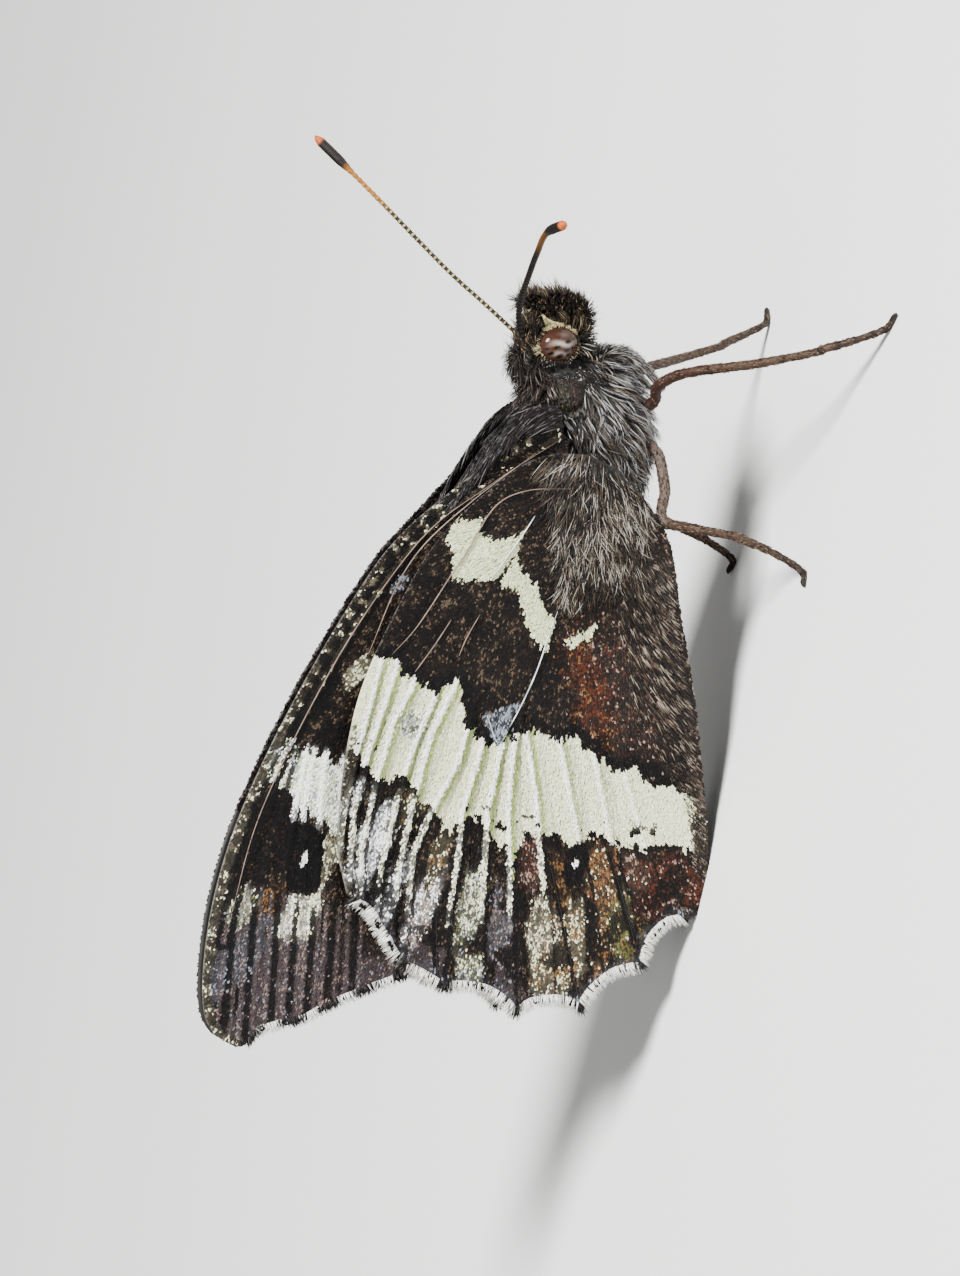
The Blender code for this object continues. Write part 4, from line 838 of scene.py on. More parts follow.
def makeVeins(kind, label, sign):
    # each vein is a thin tube of six sides on top of the scales, thinning to a point at both ends:
    # radius = r*sqrt(4*s*(1 - s)) over its share s
    wing = wings[kind]
    lines = list(zip(wing["marks"]["veins"], wing["marks"]["veinTone"]))
    lines += [(line, "ink") for line in wing["marks"]["inkLines"]]
    points, quads, tint = [], [], []
    for index, (line, tone) in enumerate(lines):
        path = smoothLine(line, 70)
        y, z = path[:, 0], path[:, 1]
        run = unit(np.gradient(path, axis=0))
        share = np.linspace(0.01, 0.99, len(y))
        radius = veinSize["radius"][tone] * np.sqrt(4 * share * (1 - share))[:, None]
        angle = np.arange(6) / 6 * 2 * np.pi
        py = y[:, None] - run[:, 1:] * np.cos(angle) * radius
        pz = z[:, None] + run[:, :1] * np.cos(angle) * radius
        height = wingSize["thick"] / 2 + relief(kind, y, z)[:, None] + 0.045 + np.sin(angle) * radius
        places = np.stack([sign * (wing["side"](py, pz) + height), py, pz], -1)
        ends = np.array([(3, 2, 1, 0), (5, 4, 3, 0)])
        ring = np.vstack([gridQuads(len(y), 6, True), ends, ends[:, ::-1] + 6 * (len(y) - 1)])
        points.append(places.reshape(-1, 3))
        quads.append(ring + index * 6 * len(y))
        shade = rgb(*veinSize["tone"][tone]) * (0.45 + 0.9 * softNoise(y, z, 0.4, 81))[:, None]
        tint.append(np.repeat(shade, 6, 0))
    piece = buildPiece(kind + "wingVeins" + label, np.vstack(points), np.vstack(quads), None, np.vstack(tint))
    piece.data.materials.append(membraneFinish)


fringeSize = {"length": 0.76, "width": 0.085, "perMillimetre": 74, "darkReach": 0.85}


def makeFringe(kind, label, sign):
    # short flat hairs outwards from the margin, lying close side by side, dark at each tooth
    wing = wings[kind]
    line = wing["line"][wing["on"] > 0.12]
    out = wing["out"][wing["on"] > 0.12]
    steps = lineSteps(line)
    count = int(steps[-1] * fringeSize["perMillimetre"])
    where = dice.uniform(0, steps[-1], count)
    root = alongLine(where, steps, line)
    lean = alongLine(where, steps, out)
    lean = unit(lean + dice.normal(0, 0.18, lean.shape))
    root = root - lean * 0.2
    length = fringeSize["length"] * dice.uniform(0.6, 1.12, count) * (0.85 if kind == "fore" else 1.0)
    t = np.linspace(0, 1, 3)[None, :, None]
    flat = root[:, None] + lean[:, None] * t * length[:, None, None]
    rise = relief(kind, root[:, 0], root[:, 1]) + dice.uniform(-0.06, 0.2, count)
    lift = rise[:, None] + t[:, :, 0] * dice.uniform(-0.05, 0.05, count)[:, None]
    paths = np.stack([sign * (wing["side"](flat[..., 0], flat[..., 1]) + lift), flat[..., 0],
                      np.maximum(flat[..., 1], 0.03)], -1)
    end = root + lean * 0.5
    nearTooth = np.min([np.hypot(end[:, 0] - ty, end[:, 1] - tz) for ty, tz in darkTips[kind]], 0)
    dark = ease((fringeSize["darkReach"] - nearTooth + dice.normal(0, 0.16, count)) / 0.3)[:, None]
    warm = dice.random(count)[:, None]
    tint = rgb(255, 255, 252) * (1 - 0.35 * warm) + rgb(206, 196, 158) * 0.35 * warm
    tint = tint * (1 - dark) + rgb(20, 15, 14) * dark
    across = wingAcross(lean)
    hairMesh(kind + "wingFringe" + label, paths, across, fringeSize["width"], tint,
             wingUv(kind, root[:, 0], root[:, 1]), shadeRoot=0.7)


darkTips = {"hind": [(18.7, 16.2), (19.5, 13.3), (20.1, 8.9), (19.0, 5.0), (15.8, 1.9), (12.2, 0.0),
                     (15.1, 19.8)],
            "fore": [(23.8, 24.9), (24.0, 22.9), (22.9, 20.7), (21.7, 18.7), (20.5, 17.0), (19.2, 15.1),
                     (17.6, 12.4), (15.9, 9.6)]}


def hindShown(y, z):
    # everywhere but under the thickest hair of the wing's base
    along, up = bodyAxes(y, z)
    return np.hypot((along - 1.6) / 2.2, (up - 0.2) / 2.4) > 1


def foreShown(y, z):
    # the forewing's scales are laid only where the hindwing leaves it in view
    gap, _ = lineDistance(y, z, hindLine[::2])
    return ~insideLine(y, z, hindLine[::2]) | (gap < 0.8)


for label, node, sign in sides:
    for kind, shown in (("fore", foreShown), ("hind", hindShown)):
        makeMembrane(kind, label, node, sign)
        number = makeScales(kind, label, sign, shown, "Base", lambda y: y < 7.5)
        number += makeScales(kind, label, sign, shown, "Outer", lambda y: y >= 7.5)
        if kind == "fore":
            number += makeScales(kind, label, sign, innerShown, "Inner", lambda y: y < 16, -1.0)
        makeVeins(kind, label, sign)
        makeFringe(kind, label, sign)
        print(kind, "wing", label, "with", number, "scales")

# body: one skin over head, thorax and abdomen
bodyShape = {"head": (-4.8, 0.6, 1.55, 1.25, 1.8), "thorax": (0.0, 0.0, 4.0, 1.7, 3.2),
             "abdomen": (2.6, 17.3, 1.45, 1.6), "start": -6.33, "end": 19.86,
             "rows": 150, "columns": 60, "shade": 0.25}


def bodyProfile():
    # top, bottom and half width along the axis: the widest of two egg shapes and a tapering tube
    along = np.linspace(bodyShape["start"], bodyShape["end"], 700)
    tops, bottoms, widths = [], [], []
    for name in ("head", "thorax"):
        centre, up, half, wide, tall = bodyShape[name]
        arc = 1 - ((along - centre) / half) ** 2
        root = np.sqrt(np.maximum(arc, 0))
        tops.append(np.where(arc > 0, up + tall * root, -9))
        bottoms.append(np.where(arc > 0, up - tall * root, 9))
        widths.append(wide * root)
    first, length, wide, tall = bodyShape["abdomen"]
    share = np.clip((along - first) / length, 0, 1)
    taper = np.sqrt(np.maximum(1 - share ** 5, 0)) * (1 - 0.25 * share)
    ring = 1 + 0.03 * np.sin(share * 16 * np.pi)
    on = along > first
    tops.append(np.where(on, tall * taper * ring, -9))
    bottoms.append(np.where(on, -tall * taper * ring, 9))
    widths.append(np.where(on, wide * taper * ring, 0))
    profile = [np.max(tops, 0), np.min(bottoms, 0), np.max(widths, 0)]
    kernel = np.hanning(15)
    kernel /= kernel.sum()
    profile = [np.convolve(np.pad(p, 7, mode="edge"), kernel, "valid") for p in profile]
    return along, profile


profileAlong, profileRows = bodyProfile()


def skinPoint(along, angle):
    # an oval section at each place along the axis: side = width*sin, up = middle + height*cos
    top, bottom, wide = [np.interp(along, profileAlong, row) for row in profileRows]
    return bodyPoint(along, (top + bottom) / 2 + (top - bottom) / 2 * np.cos(angle), wide * np.sin(angle))


def skinUv(along, angle):
    return np.stack([0.5 + angle / (2 * np.pi) * 0.96,
                     0.02 + 0.96 * (along - bodyShape["start"])
                     / (bodyShape["end"] - bodyShape["start"])], -1)


def bodyTint(along, angle):
    # dark over the back and the neck, grey-white on the flanks and the breast, brown behind
    up = np.cos(angle)
    pale = ease((0.55 - up) / 0.7) * ease((along + 2.4) / 1.5) * ease((7 - along) / 3)
    tint = rgb(38, 31, 28)[None] * (1 - pale[:, None]) + rgb(196, 188, 178)[None] * pale[:, None]
    behind = ease((along - 5) / 3)[:, None]
    return tint * (1 - behind) + rgb(112, 96, 80)[None] * behind


def makeSkin():
    rows, columns = bodyShape["rows"], bodyShape["columns"]
    v = (1 - np.cos(np.linspace(0.01, 1, rows) * np.pi)) / 2
    v = np.clip(0.5 * v + 0.5 * np.linspace(0.0, 1, rows), 0.0005, 0.9995)
    along = (bodyShape["start"] + (bodyShape["end"] - bodyShape["start"]) * v)[:, None]
    angle = np.linspace(-np.pi, np.pi, columns, endpoint=False)[None, :]
    along, angle = np.broadcast_arrays(along, angle)
    points = skinPoint(along, angle).reshape(-1, 3)
    ends = skinPoint(np.array([bodyShape["start"] + 0.005, bodyShape["end"] - 0.005]), np.array([1.57, 1.57]))
    ends[:, 0] = 0
    tint = bodyTint(along.ravel(), angle.ravel()) * bodyShape["shade"]
    tint = np.vstack([tint, tint[:1], tint[-1:]])
    piece = buildPiece("bodySkin", np.vstack([points, ends]), gridQuads(rows, columns, True),
                       capTris(rows, columns), tint)
    piece.data.materials.append(skinFinish)
    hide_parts("head", "thorax", "abdomen")


makeSkin()
print("body skin done")


def surfaceFrame(pointAt, a, b, step):
    # the surface's place and outward normal from two small steps of its own parameters
    here = pointAt(a, b)
    alongA = pointAt(a + step, b) - here
    alongB = pointAt(a, b + step) - here
    return here, unit(np.cross(alongB, alongA))


def growCoat(name, along, angle, heading, length, lift, width, tint, stations=4, sweep=0.12,
             tuft=1 / 14, pull=(0.35, 0.8), shadeRoot=0.5):
    # hairs from roots on the body skin: place(t) = root + heading*L*t + normal*L*lift*t*(1 - 0.5t),
    # turned a little with their tuft and drawn together towards its tip
    root, normal = surfaceFrame(skinPoint, along, angle, 0.01)
    count = len(along)
    lead = followers(root, tuft)
    heading = unit(heading - normal * np.sum(heading * normal, 1, keepdims=True))
    across = np.cross(heading, normal)
    turn = dice.normal(0, 0.1, count) + dice.normal(0, 0.3, count)[lead]
    heading = unit(heading + across * turn[:, None])
    t = np.linspace(0, 1, stations)[None, :, None]
    bend = across * (dice.normal(0, sweep, count) * length)[:, None]
    wave = (dice.normal(0, 0.07, count)[lead] * length)[:, None, None] * np.sin(t * 4.5)
    paths = (root - normal * 0.06)[:, None] + heading[:, None] * t * length[:, None, None]
    paths = paths + normal[:, None] * (lift * length)[:, None, None] * t * (1 - 0.5 * t)
    paths = gather(paths + bend[:, None] * t ** 2 + across[:, None] * wave, lead, *pull)
    paths[..., 2] = np.maximum(paths[..., 2], 0.03)
    tint = tint * (0.7 + 0.6 * dice.random(count)[lead])[:, None]
    hairMesh(name, paths, across, width, tint, skinUv(along, angle), shadeRoot)


print("coat tools ready")

# coat of the thorax
thoraxCoat = {"hairs": 8400, "length": 1.42, "width": 0.049}
cheekCoat = {"scales": 2600, "length": 0.34, "width": 0.05}


def makeThoraxCoat():
    count = thoraxCoat["hairs"]
    along = dice.uniform(-4.0, 4.0, count)
    angle = dice.uniform(-np.pi, np.pi, count)
    up = np.cos(angle)
    tail = bodyWay(1.0, 0.0)
    below = np.maximum(0, -up)[:, None]
    heading = tail[None] + np.array((0.0, 0.0, -0.8))[None] * below
    heading = heading + dice.normal(0, 0.1, (count, 3))
    patch = softNoise(along * 1.3, angle * 2.2, 0.8, 51)
    pale = ease((0.5 - up + 0.9 * (patch - 0.5)) / 0.8) * ease((along + 4.4) / 1.4)
    pick = dice.random(count)
    colours = np.array([rgb(192, 192, 194), rgb(112, 101, 88), rgb(48, 38, 32), rgb(12, 9, 8)])
    light = np.digitize(pick, (0.29, 0.55, 0.77))
    dark = np.digitize(pick, (0.05, 0.25, 0.6))
    tint = colours[np.where(dice.random(count) < pale, light, dark)]
    # short black speckled hair behind the eye, then a dull olive plate over the wing's root
    turn = np.abs(angle)
    cheek = ease((turn - 0.7) / 0.15) * ease((2.35 - turn) / 0.12) * ease((-2.3 - along) / 0.25)
    plate = ease((turn - 0.8) / 0.15) * ease((1.72 - turn) / 0.12) * ease((-1.2 - along) / 0.25)
    dull = np.array([rgb(12, 9, 8), rgb(46, 40, 20), rgb(34, 24, 15), rgb(96, 88, 60)])
    speckled = np.array([rgb(8, 7, 7), rgb(20, 15, 13), rgb(34, 27, 22), rgb(214, 212, 204)])
    lot = dice.random(count)
    tint = np.where((lot < plate)[:, None], dull[np.digitize(pick, (0.3, 0.62, 0.9))], tint)
    tint = np.where((lot < cheek)[:, None], speckled[np.digitize(pick, (0.5, 0.72, 0.86))], tint)
    length = thoraxCoat["length"] * dice.uniform(0.6, 1.2, count) * (1 + 0.25 * below[:, 0])
    length = length * (1 - 0.66 * np.maximum(cheek, plate))
    length = length * (1 - 0.3 * (np.hypot((along + 2.3) / 0.8, (3.2 * up - 0.75) / 0.85) < 1))
    fine = (lot < cheek) & (pick > 0.86)
    length = length * (1 - 0.45 * fine)
    throat = ease((-up - 0.2) / 0.4) * ease((-2.9 - along) / 0.6)
    root = np.exp(-((turn - 1.5) / 0.7) ** 2) * ease((along + 1.5) / 0.5)
    lift = 0.28 + 0.35 * dice.random(count) + 0.5 * throat + 0.45 * below[:, 0] + 0.35 * root
    width = thoraxCoat["width"] * (1 + 0.7 * np.maximum(cheek, plate)) * (1 - 0.45 * fine)
    growCoat("thoraxCoat", along, angle, heading, length, lift, width, tint, shadeRoot=0.28)


def makeCheekCoat():
    # short black scales between the eye and the wing's root, one in eight of them white
    count = cheekCoat["scales"]
    along = dice.uniform(-4.5, -2.2, count)
    angle = dice.uniform(0.75, 2.3, count) * dice.choice([-1.0, 1.0], count)
    tail = bodyWay(1.0, -0.25)
    heading = np.tile(tail, (count, 1)) + dice.normal(0, 0.3, (count, 3))
    lot = dice.random(count)
    colours = np.array([rgb(8, 7, 7), rgb(24, 18, 15), rgb(44, 35, 27), rgb(226, 224, 216)])
    kind = np.digitize(lot, (0.5, 0.76, 0.87))
    length = cheekCoat["length"] * dice.uniform(0.7, 1.2, count) * np.where(kind == 3, 0.7, 1.0)
    lift = 0.3 + 0.4 * dice.random(count) + 0.25 * (kind == 3)
    growCoat("cheekCoat", along, angle, heading, length, lift, cheekCoat["width"],
             colours[kind], stations=3)


makeThoraxCoat()
makeCheekCoat()
print("thorax coat done")

# collar: longer brown hair that stands up over the neck
collarCoat = {"hairs": 3400, "length": 1.7, "width": 0.04}


def makeCollar():
    count = collarCoat["hairs"]
    share = dice.random(count)
    along = -5.3 + 3.9 * share
    angle = np.clip(dice.normal(0, 0.42, count), -0.85, 0.85)
    tail = bodyWay(1.0, 0.0)
    heading = tail[None] * (0.15 + 1.1 * share[:, None]) + dice.normal(0, 0.17, (count, 3))
    tint = fromLot([(132, 124, 114), (72, 61, 53), (32, 25, 22), (8, 6, 6)], (0.13, 0.36, 0.66),
                   dice.random(count))
    top = np.exp(-(angle / 1.1) ** 2)
    length = collarCoat["length"] * dice.uniform(0.5, 1.2, count) * (0.4 + 0.6 * top)
    length = length * (0.55 + 0.45 * np.sin(np.pi * np.clip(share * 0.9 + 0.12, 0, 1)))
    lift = 0.35 + 1.2 * top * dice.uniform(0.6, 1.2, count) * (1 - 0.5 * share)
    growCoat("collarCoat", along, angle, heading, length, lift, collarCoat["width"], tint)


makeCollar()
print("collar done")

# plates over the wings' roots and the silky hair behind them
plateCoat = {"scales": 800, "length": 0.3, "width": 0.09, "centre": (-2.3, 0.75), "half": (0.8, 0.85),
             "rise": 0.3}
shawlCoat = {"hairs": 2300, "length": 2.2, "width": 0.042,
             "edge": [(-13.7, 14.5), (-13.4, 15.9), (-12.6, 17.1), (-10.3, 18.5), (-7.1, 19.8), (-4.4, 21.0),
                      (-1.5, 22.3)]}


def makePlate(label, sign):
    # scales on a raised oval of the flank: side = flank + rise*sqrt(1 - r*r), all lying back and up
    count = plateCoat["scales"]
    turn = dice.uniform(0, 2 * np.pi, count)
    r = np.sqrt(dice.random(count)) * 0.99
    along = plateCoat["centre"][0] + plateCoat["half"][0] * r * np.cos(turn)
    up = plateCoat["centre"][1] + plateCoat["half"][1] * r * np.sin(turn)
    flank = 1.7 * np.sqrt(1 - (along / 4.0) ** 2 - (up / 3.2) ** 2)
    side = flank + plateCoat["rise"] * np.sqrt(1 - r ** 2) + 0.05
    root = bodyPoint(along, up, sign * side)
    lie = unit(bodyWay(1.0, 0.35))
    out = np.array((sign * 1.0, 0.0, 0.0))
    lean = unit(lie + 0.14 * out + dice.normal(0, 0.13, (count, 3)))
    length = plateCoat["length"] * dice.uniform(0.7, 1.2, count)
    t = np.linspace(0, 1, 3)[None, :, None]
    paths = root[:, None] + lean[:, None] * t * length[:, None, None]
    rim = ease((-r * np.sin(turn) + 0.1) / 0.3)
    lot = dice.random(count)
    olive = np.array([rgb(14, 12, 8), rgb(38, 34, 17), rgb(74, 70, 44)])[np.digitize(lot, (0.4, 0.86))]
    russet = np.array([rgb(8, 5, 4), rgb(36, 16, 9), rgb(78, 54, 40)])[np.digitize(lot, (0.5, 0.92))]
    tint = np.where((dice.random(count) < rim)[:, None], russet, olive)
    hairMesh("plate" + label, paths, np.cross(lean, out), plateCoat["width"], tint,
             np.stack([0.5 + 0.2 * r * np.cos(turn), 0.5 + 0.2 * r * np.sin(turn)], 1))


def makeShawl(label, sign):
    # silky hair from behind the collar along the forewing's leading edge, on its outer face and a
    # little beyond its edge: place(t) = root + run*L*t, bent along the edge
    count = shawlCoat["hairs"]
    edge = smoothLine(shawlCoat["edge"], 80)
    share = dice.random(count) ** 1.6
    where = 0.02 + 0.6 * share
    steps = np.linspace(0, 1, 80)
    place = alongLine(where, steps, edge)
    ahead = alongLine(where + 0.14, steps, edge)
    run = unit(ahead - place)
    inward = np.stack([run[:, 1], -run[:, 0]], 1)
    depth = dice.random(count)
    root = place + inward * (0.1 + 0.5 * share + depth * (1.5 - 1.2 * share))[:, None]
    lead = followers(root, 1 / 12)
    lean = unit(run + inward * (0.12 * share)[:, None] + dice.normal(0, 0.07, (count, 2))
                + dice.normal(0, 0.08, (count, 2))[lead])
    length = shawlCoat["length"] * dice.uniform(0.4, 1.1, count) * (1 - 0.5 * share)
    t = np.linspace(0, 1, 4)[None, :, None]
    flat = root[:, None] + lean[:, None] * t * length[:, None, None]
    flat = gather(flat + inward[:, None] * (t ** 2) * (0.12 * length)[:, None, None], lead, 0.1, 0.5)
    height = ((0.1 + 0.35 * dice.random(count)) * (1 - 0.6 * share))[:, None] * (1 - 0.75 * t[..., 0])
    wide = foreSide(flat[..., 0], flat[..., 1]) * (1 - 0.5 * ease((0.45 - depth) / 0.3))[:, None]
    paths = np.stack([sign * (wide + 0.1 + height), flat[..., 0], flat[..., 1]], -1)
    # the palest tenth of the hairs are painted highlight on the silky strands
    tint = fromLot([(118, 110, 110), (48, 39, 38), (20, 15, 15), (6, 5, 5)], (0.1, 0.34, 0.64),
                   dice.random(count))
    across = wingAcross(lean)
    hairMesh("shawl" + label, paths, across, shawlCoat["width"], tint,
             wingUv("fore", root[:, 0], root[:, 1]))


for label, node, sign in sides:
    makePlate(label, sign)
    makeShawl(label, sign)
print("plates and shawl done")

# coat of the head: dark bristles forwards, cream ones round the eyes
headBall = {"along": -4.8, "reach": 1.53}
headCoat = {"hairs": 5600, "length": 0.84, "width": 0.042}


def makeHeadCoat():
    count = headCoat["hairs"]
    along = headBall["along"] - headBall["reach"] * np.sin(dice.uniform(-0.75, 1.45, count))
    angle = dice.uniform(-np.pi, np.pi, count)
    root, _ = surfaceFrame(skinPoint, along, angle, 0.01)
    eye = bodyPoint(-5.0, 0.55, 0.0)
    gap = np.hypot((root[:, 1] - eye[1]) / 1.05, (root[:, 2] - eye[2]) / 1.15)
    keep = gap > 0.9
    along, angle, root = along[keep], angle[keep], root[keep]
    count = len(along)
    back, up = bodyAxes(root[:, 1], root[:, 2])
    ahead = bodyWay(-1.0, 0.0)
    upward = bodyWay(0.0, 1.0)
    front = ease((-along - 4.3) / 1.2)
    crown = front * ease((up - 0.9) / 0.8)
    beard = front * ease((0.1 - up) / 0.8)
    heading = ahead[None] * (2.2 * front[:, None] - 0.9) + upward[None] * 0.45 * np.cos(angle)[:, None]
    heading = heading + dice.normal(0, 0.14, (count, 3))
    pick = dice.random(count) + 0.3 * (softNoise(along * 2, angle * 2, 0.5, 57) - 0.5)
    tint = fromLot([(190, 176, 132), (92, 72, 50), (34, 24, 18), (8, 6, 6)], (0.07, 0.27, 0.57),
                   pick)
    speck = (dice.random(count) < 0.1)[:, None]
    rear = ease((along + 4.9) / 0.4) * ease((np.abs(angle) - 0.6) / 0.2)
    short = np.where(speck, rgb(212, 210, 200), rgb(9, 7, 7))
    tint = np.where((dice.random(count) < rear)[:, None], short, tint)
    length = headCoat["length"] * dice.uniform(0.55, 1.2, count) * (0.6 + 0.6 * front)
    crown = crown * ease((-along - 5.3) / 0.4)
    throat = ease((-0.1 - up) / 0.5) * ease((along + 5.2) / 0.5)
    length = length * (1 + 0.7 * crown + 0.35 * beard + 0.5 * throat) * (1 - 0.45 * rear * (1 - throat))
    lift = 0.35 + 0.4 * front - 0.35 * crown + 0.35 * beard + 1.1 * throat + 0.3 * dice.random(count)
    growCoat("headCoat", along, angle, heading, length, lift, headCoat["width"], tint,
             sweep=0.08, tuft=1 / 9)


browCoat = {"hairs": 240, "width": 0.05, "spread": 0.035,
            "line": [(-5.3, -0.7, 1.2), (-5.85, -0.1, 1.15), (-6.3, 0.55, 1.0), (-6.85, 0.98, 0.85)]}
bristleCoat = {"hairs": 1900, "length": 1.25, "width": 0.06}


def makeBristles():
    # stiff dark bristles, each for itself, forwards from the crown, the brow and the face
    count = bristleCoat["hairs"]
    brow = dice.random(count) < 0.35
    slope = np.where(brow, dice.uniform(0.85, 1.4, count), dice.uniform(0.0, 1.45, count))
    along = headBall["along"] - headBall["reach"] * np.sin(slope)
    angle = np.where(brow, dice.normal(0, 0.55, count), dice.uniform(-np.pi, np.pi, count))
    root, _ = surfaceFrame(skinPoint, along, angle, 0.01)
    back, up = bodyAxes(root[:, 1], root[:, 2])
    keep = (np.hypot((back + 5.0) / 0.95, (up - 0.55) / 1.1) > 1.0) | (np.abs(root[:, 0]) < 0.45)
    along, angle, up, brow = along[keep], angle[keep], up[keep], brow[keep]
    count = len(along)
    ahead = bodyWay(-1.0, 0.0)
    heading = np.tile(ahead, (count, 1)) + dice.normal(0, 0.16, (count, 3))
    length = bristleCoat["length"] * dice.uniform(0.5, 1.1, count) * (0.8 + 0.4 * ease((up - 0.6) / 0.8))
    tint = fromLot([(128, 100, 66), (30, 20, 15), (6, 5, 5)], (0.17, 0.43),
                   dice.random(count))
    lift = (0.3 + 0.5 * dice.random(count)) * np.where(brow, 0.3, 1.0)
    growCoat("headBristles", along, angle, heading, length, lift,
             bristleCoat["width"], tint, sweep=0.05, tuft=1 / 2, pull=(0.0, 0.25))


def makeBrow(label, sign):
    # a thin cream stroke in front of the eye, from its lower corner to the antenna's foot:
    # place(t) = root*(1-t)^2 + bend*2t(1-t) + tip*t^2, each tip a step further along the stroke
    count = browCoat["hairs"]
    line = smoothLine(browCoat["line"], 60)
    steps = np.linspace(0, 1, 60)
    share = dice.random(count) * 0.9
    spot = alongLine(share, steps, line)
    ahead = alongLine(share + 0.1, steps, line)
    spot = spot + dice.normal(0, browCoat["spread"], (count, 3))
    ahead = ahead + dice.normal(0, browCoat["spread"], (count, 3))
    root = bodyPoint(np.maximum(spot[:, 0] + 0.3, -6.0), spot[:, 1], sign * 0.7)
    bend = bodyPoint(spot[:, 0], spot[:, 1], sign * (spot[:, 2] + 0.08))
    tip = bodyPoint(ahead[:, 0], ahead[:, 1], sign * ahead[:, 2])
    t = np.linspace(0, 1, 5)[None, :, None]
    paths = root[:, None] * (1 - t) ** 2 + 2 * bend[:, None] * t * (1 - t) + tip[:, None] * t ** 2
    across = np.cross(unit(tip - root), np.array((sign, 0.0, 0.0)))
    tint = np.array([rgb(206, 192, 148), rgb(150, 130, 92)])[np.digitize(dice.random(count), (0.75,))]
    hairMesh("brow" + label, paths, across, browCoat["width"], tint,
             np.stack([share, 0.5 + 0 * share], 1))


makeHeadCoat()
makeBristles()
for label, node, sign in sides:
    makeBrow(label, sign)
print("head coat done")

# abdomen: short lying scales and hair
abdomenCoat = {"hairs": 2800, "length": 0.55, "width": 0.09}


def makeAbdomenCoat():
    count = abdomenCoat["hairs"]
    along = dice.uniform(3.4, 19.6, count)
    angle = dice.uniform(-np.pi, np.pi, count)
    tail = bodyWay(1.0, 0.0)
    heading = np.tile(tail, (count, 1)) + dice.normal(0, 0.08, (count, 3))
    shade = dice.random(count)[:, None]
    tint = bodyTint(along, angle) * (0.6 + 0.9 * shade)
    growCoat("abdomenCoat", along, angle, heading, abdomenCoat["length"] * dice.uniform(0.7, 1.2, count),
             0.12, abdomenCoat["width"], tint, stations=3)


makeAbdomenCoat()
print("abdomen coat done")

# long hair fanned over the hindwing's base, and the strokes along its anal fold
baseCoat = {"hairs": 7800, "length": 1.8, "width": 0.034, "pivot": (-13.4, 12.9)}


def makeBaseCoat(label, sign):
    # roots in an oval behind the wing's root; each hair follows the ray from the thorax and hugs
    # the wing: place(t) = root + ray*L*t, lift = L*k*t*(1 - 0.75t) above the membrane
    count = baseCoat["hairs"]
    spread = dice.random(count) ** 1.25
    along = -1.1 + 9.9 * spread
    up = (-3.6 + 3.6 * spread) + dice.random(count) * (6.6 - 2.2 * spread)
    root = bodyPoint(along, up, 0.0)[:, 1:]
    inside = insideLine(root[:, 0], root[:, 1], hindLine[::2])
    root, spread = root[inside], spread[inside]
    count = len(root)
    lead = followers(root, 1 / 12)
    ray = unit(root - np.array(baseCoat["pivot"]))
    angle = dice.normal(0, 0.2, count) + dice.normal(0, 0.26, count)[lead]
    ray = turned(ray, angle)
    length = baseCoat["length"] * dice.uniform(0.5, 1.2, count) * (1 - 0.4 * spread)
    t = np.linspace(0, 1, 4)[None, :, None]
    bend = quarterTurn(ray) * (dice.normal(-0.05, 0.2, count) * length)[:, None]
    flat = root[:, None] + ray[:, None] * t * length[:, None, None] + bend[:, None] * t ** 2
    flat = gather(flat, lead, 0.05, 0.5)
    lift = (length * dice.uniform(0.12, 0.38, count))[:, None] * t[:, :, 0] * (1 - 0.75 * t[:, :, 0])
    paths = np.stack([sign * (hindSide(flat[..., 0], flat[..., 1]) + 0.1 + lift), flat[..., 0],
                      np.maximum(flat[..., 1], 0.05)], -1)
    patch = softNoise(root[:, 0], root[:, 1], 1.1, 61)
    colours = np.array([rgb(182, 176, 164), rgb(96, 82, 66), rgb(44, 34, 27), rgb(9, 7, 6)])
    level = 0.85 * dice.random(count) + 0.4 * (patch - 0.5) + 0.08 * spread
    tint = colours[np.digitize(level, (0.19, 0.36, 0.57))]
    across = wingAcross(ray)
    hairMesh("hindwingBaseCoat" + label, paths, across, baseCoat["width"], tint,
             wingUv("hind", root[:, 0], root[:, 1]))


foldCoat = {"hairs": 3700, "length": 0.75, "width": 0.07}


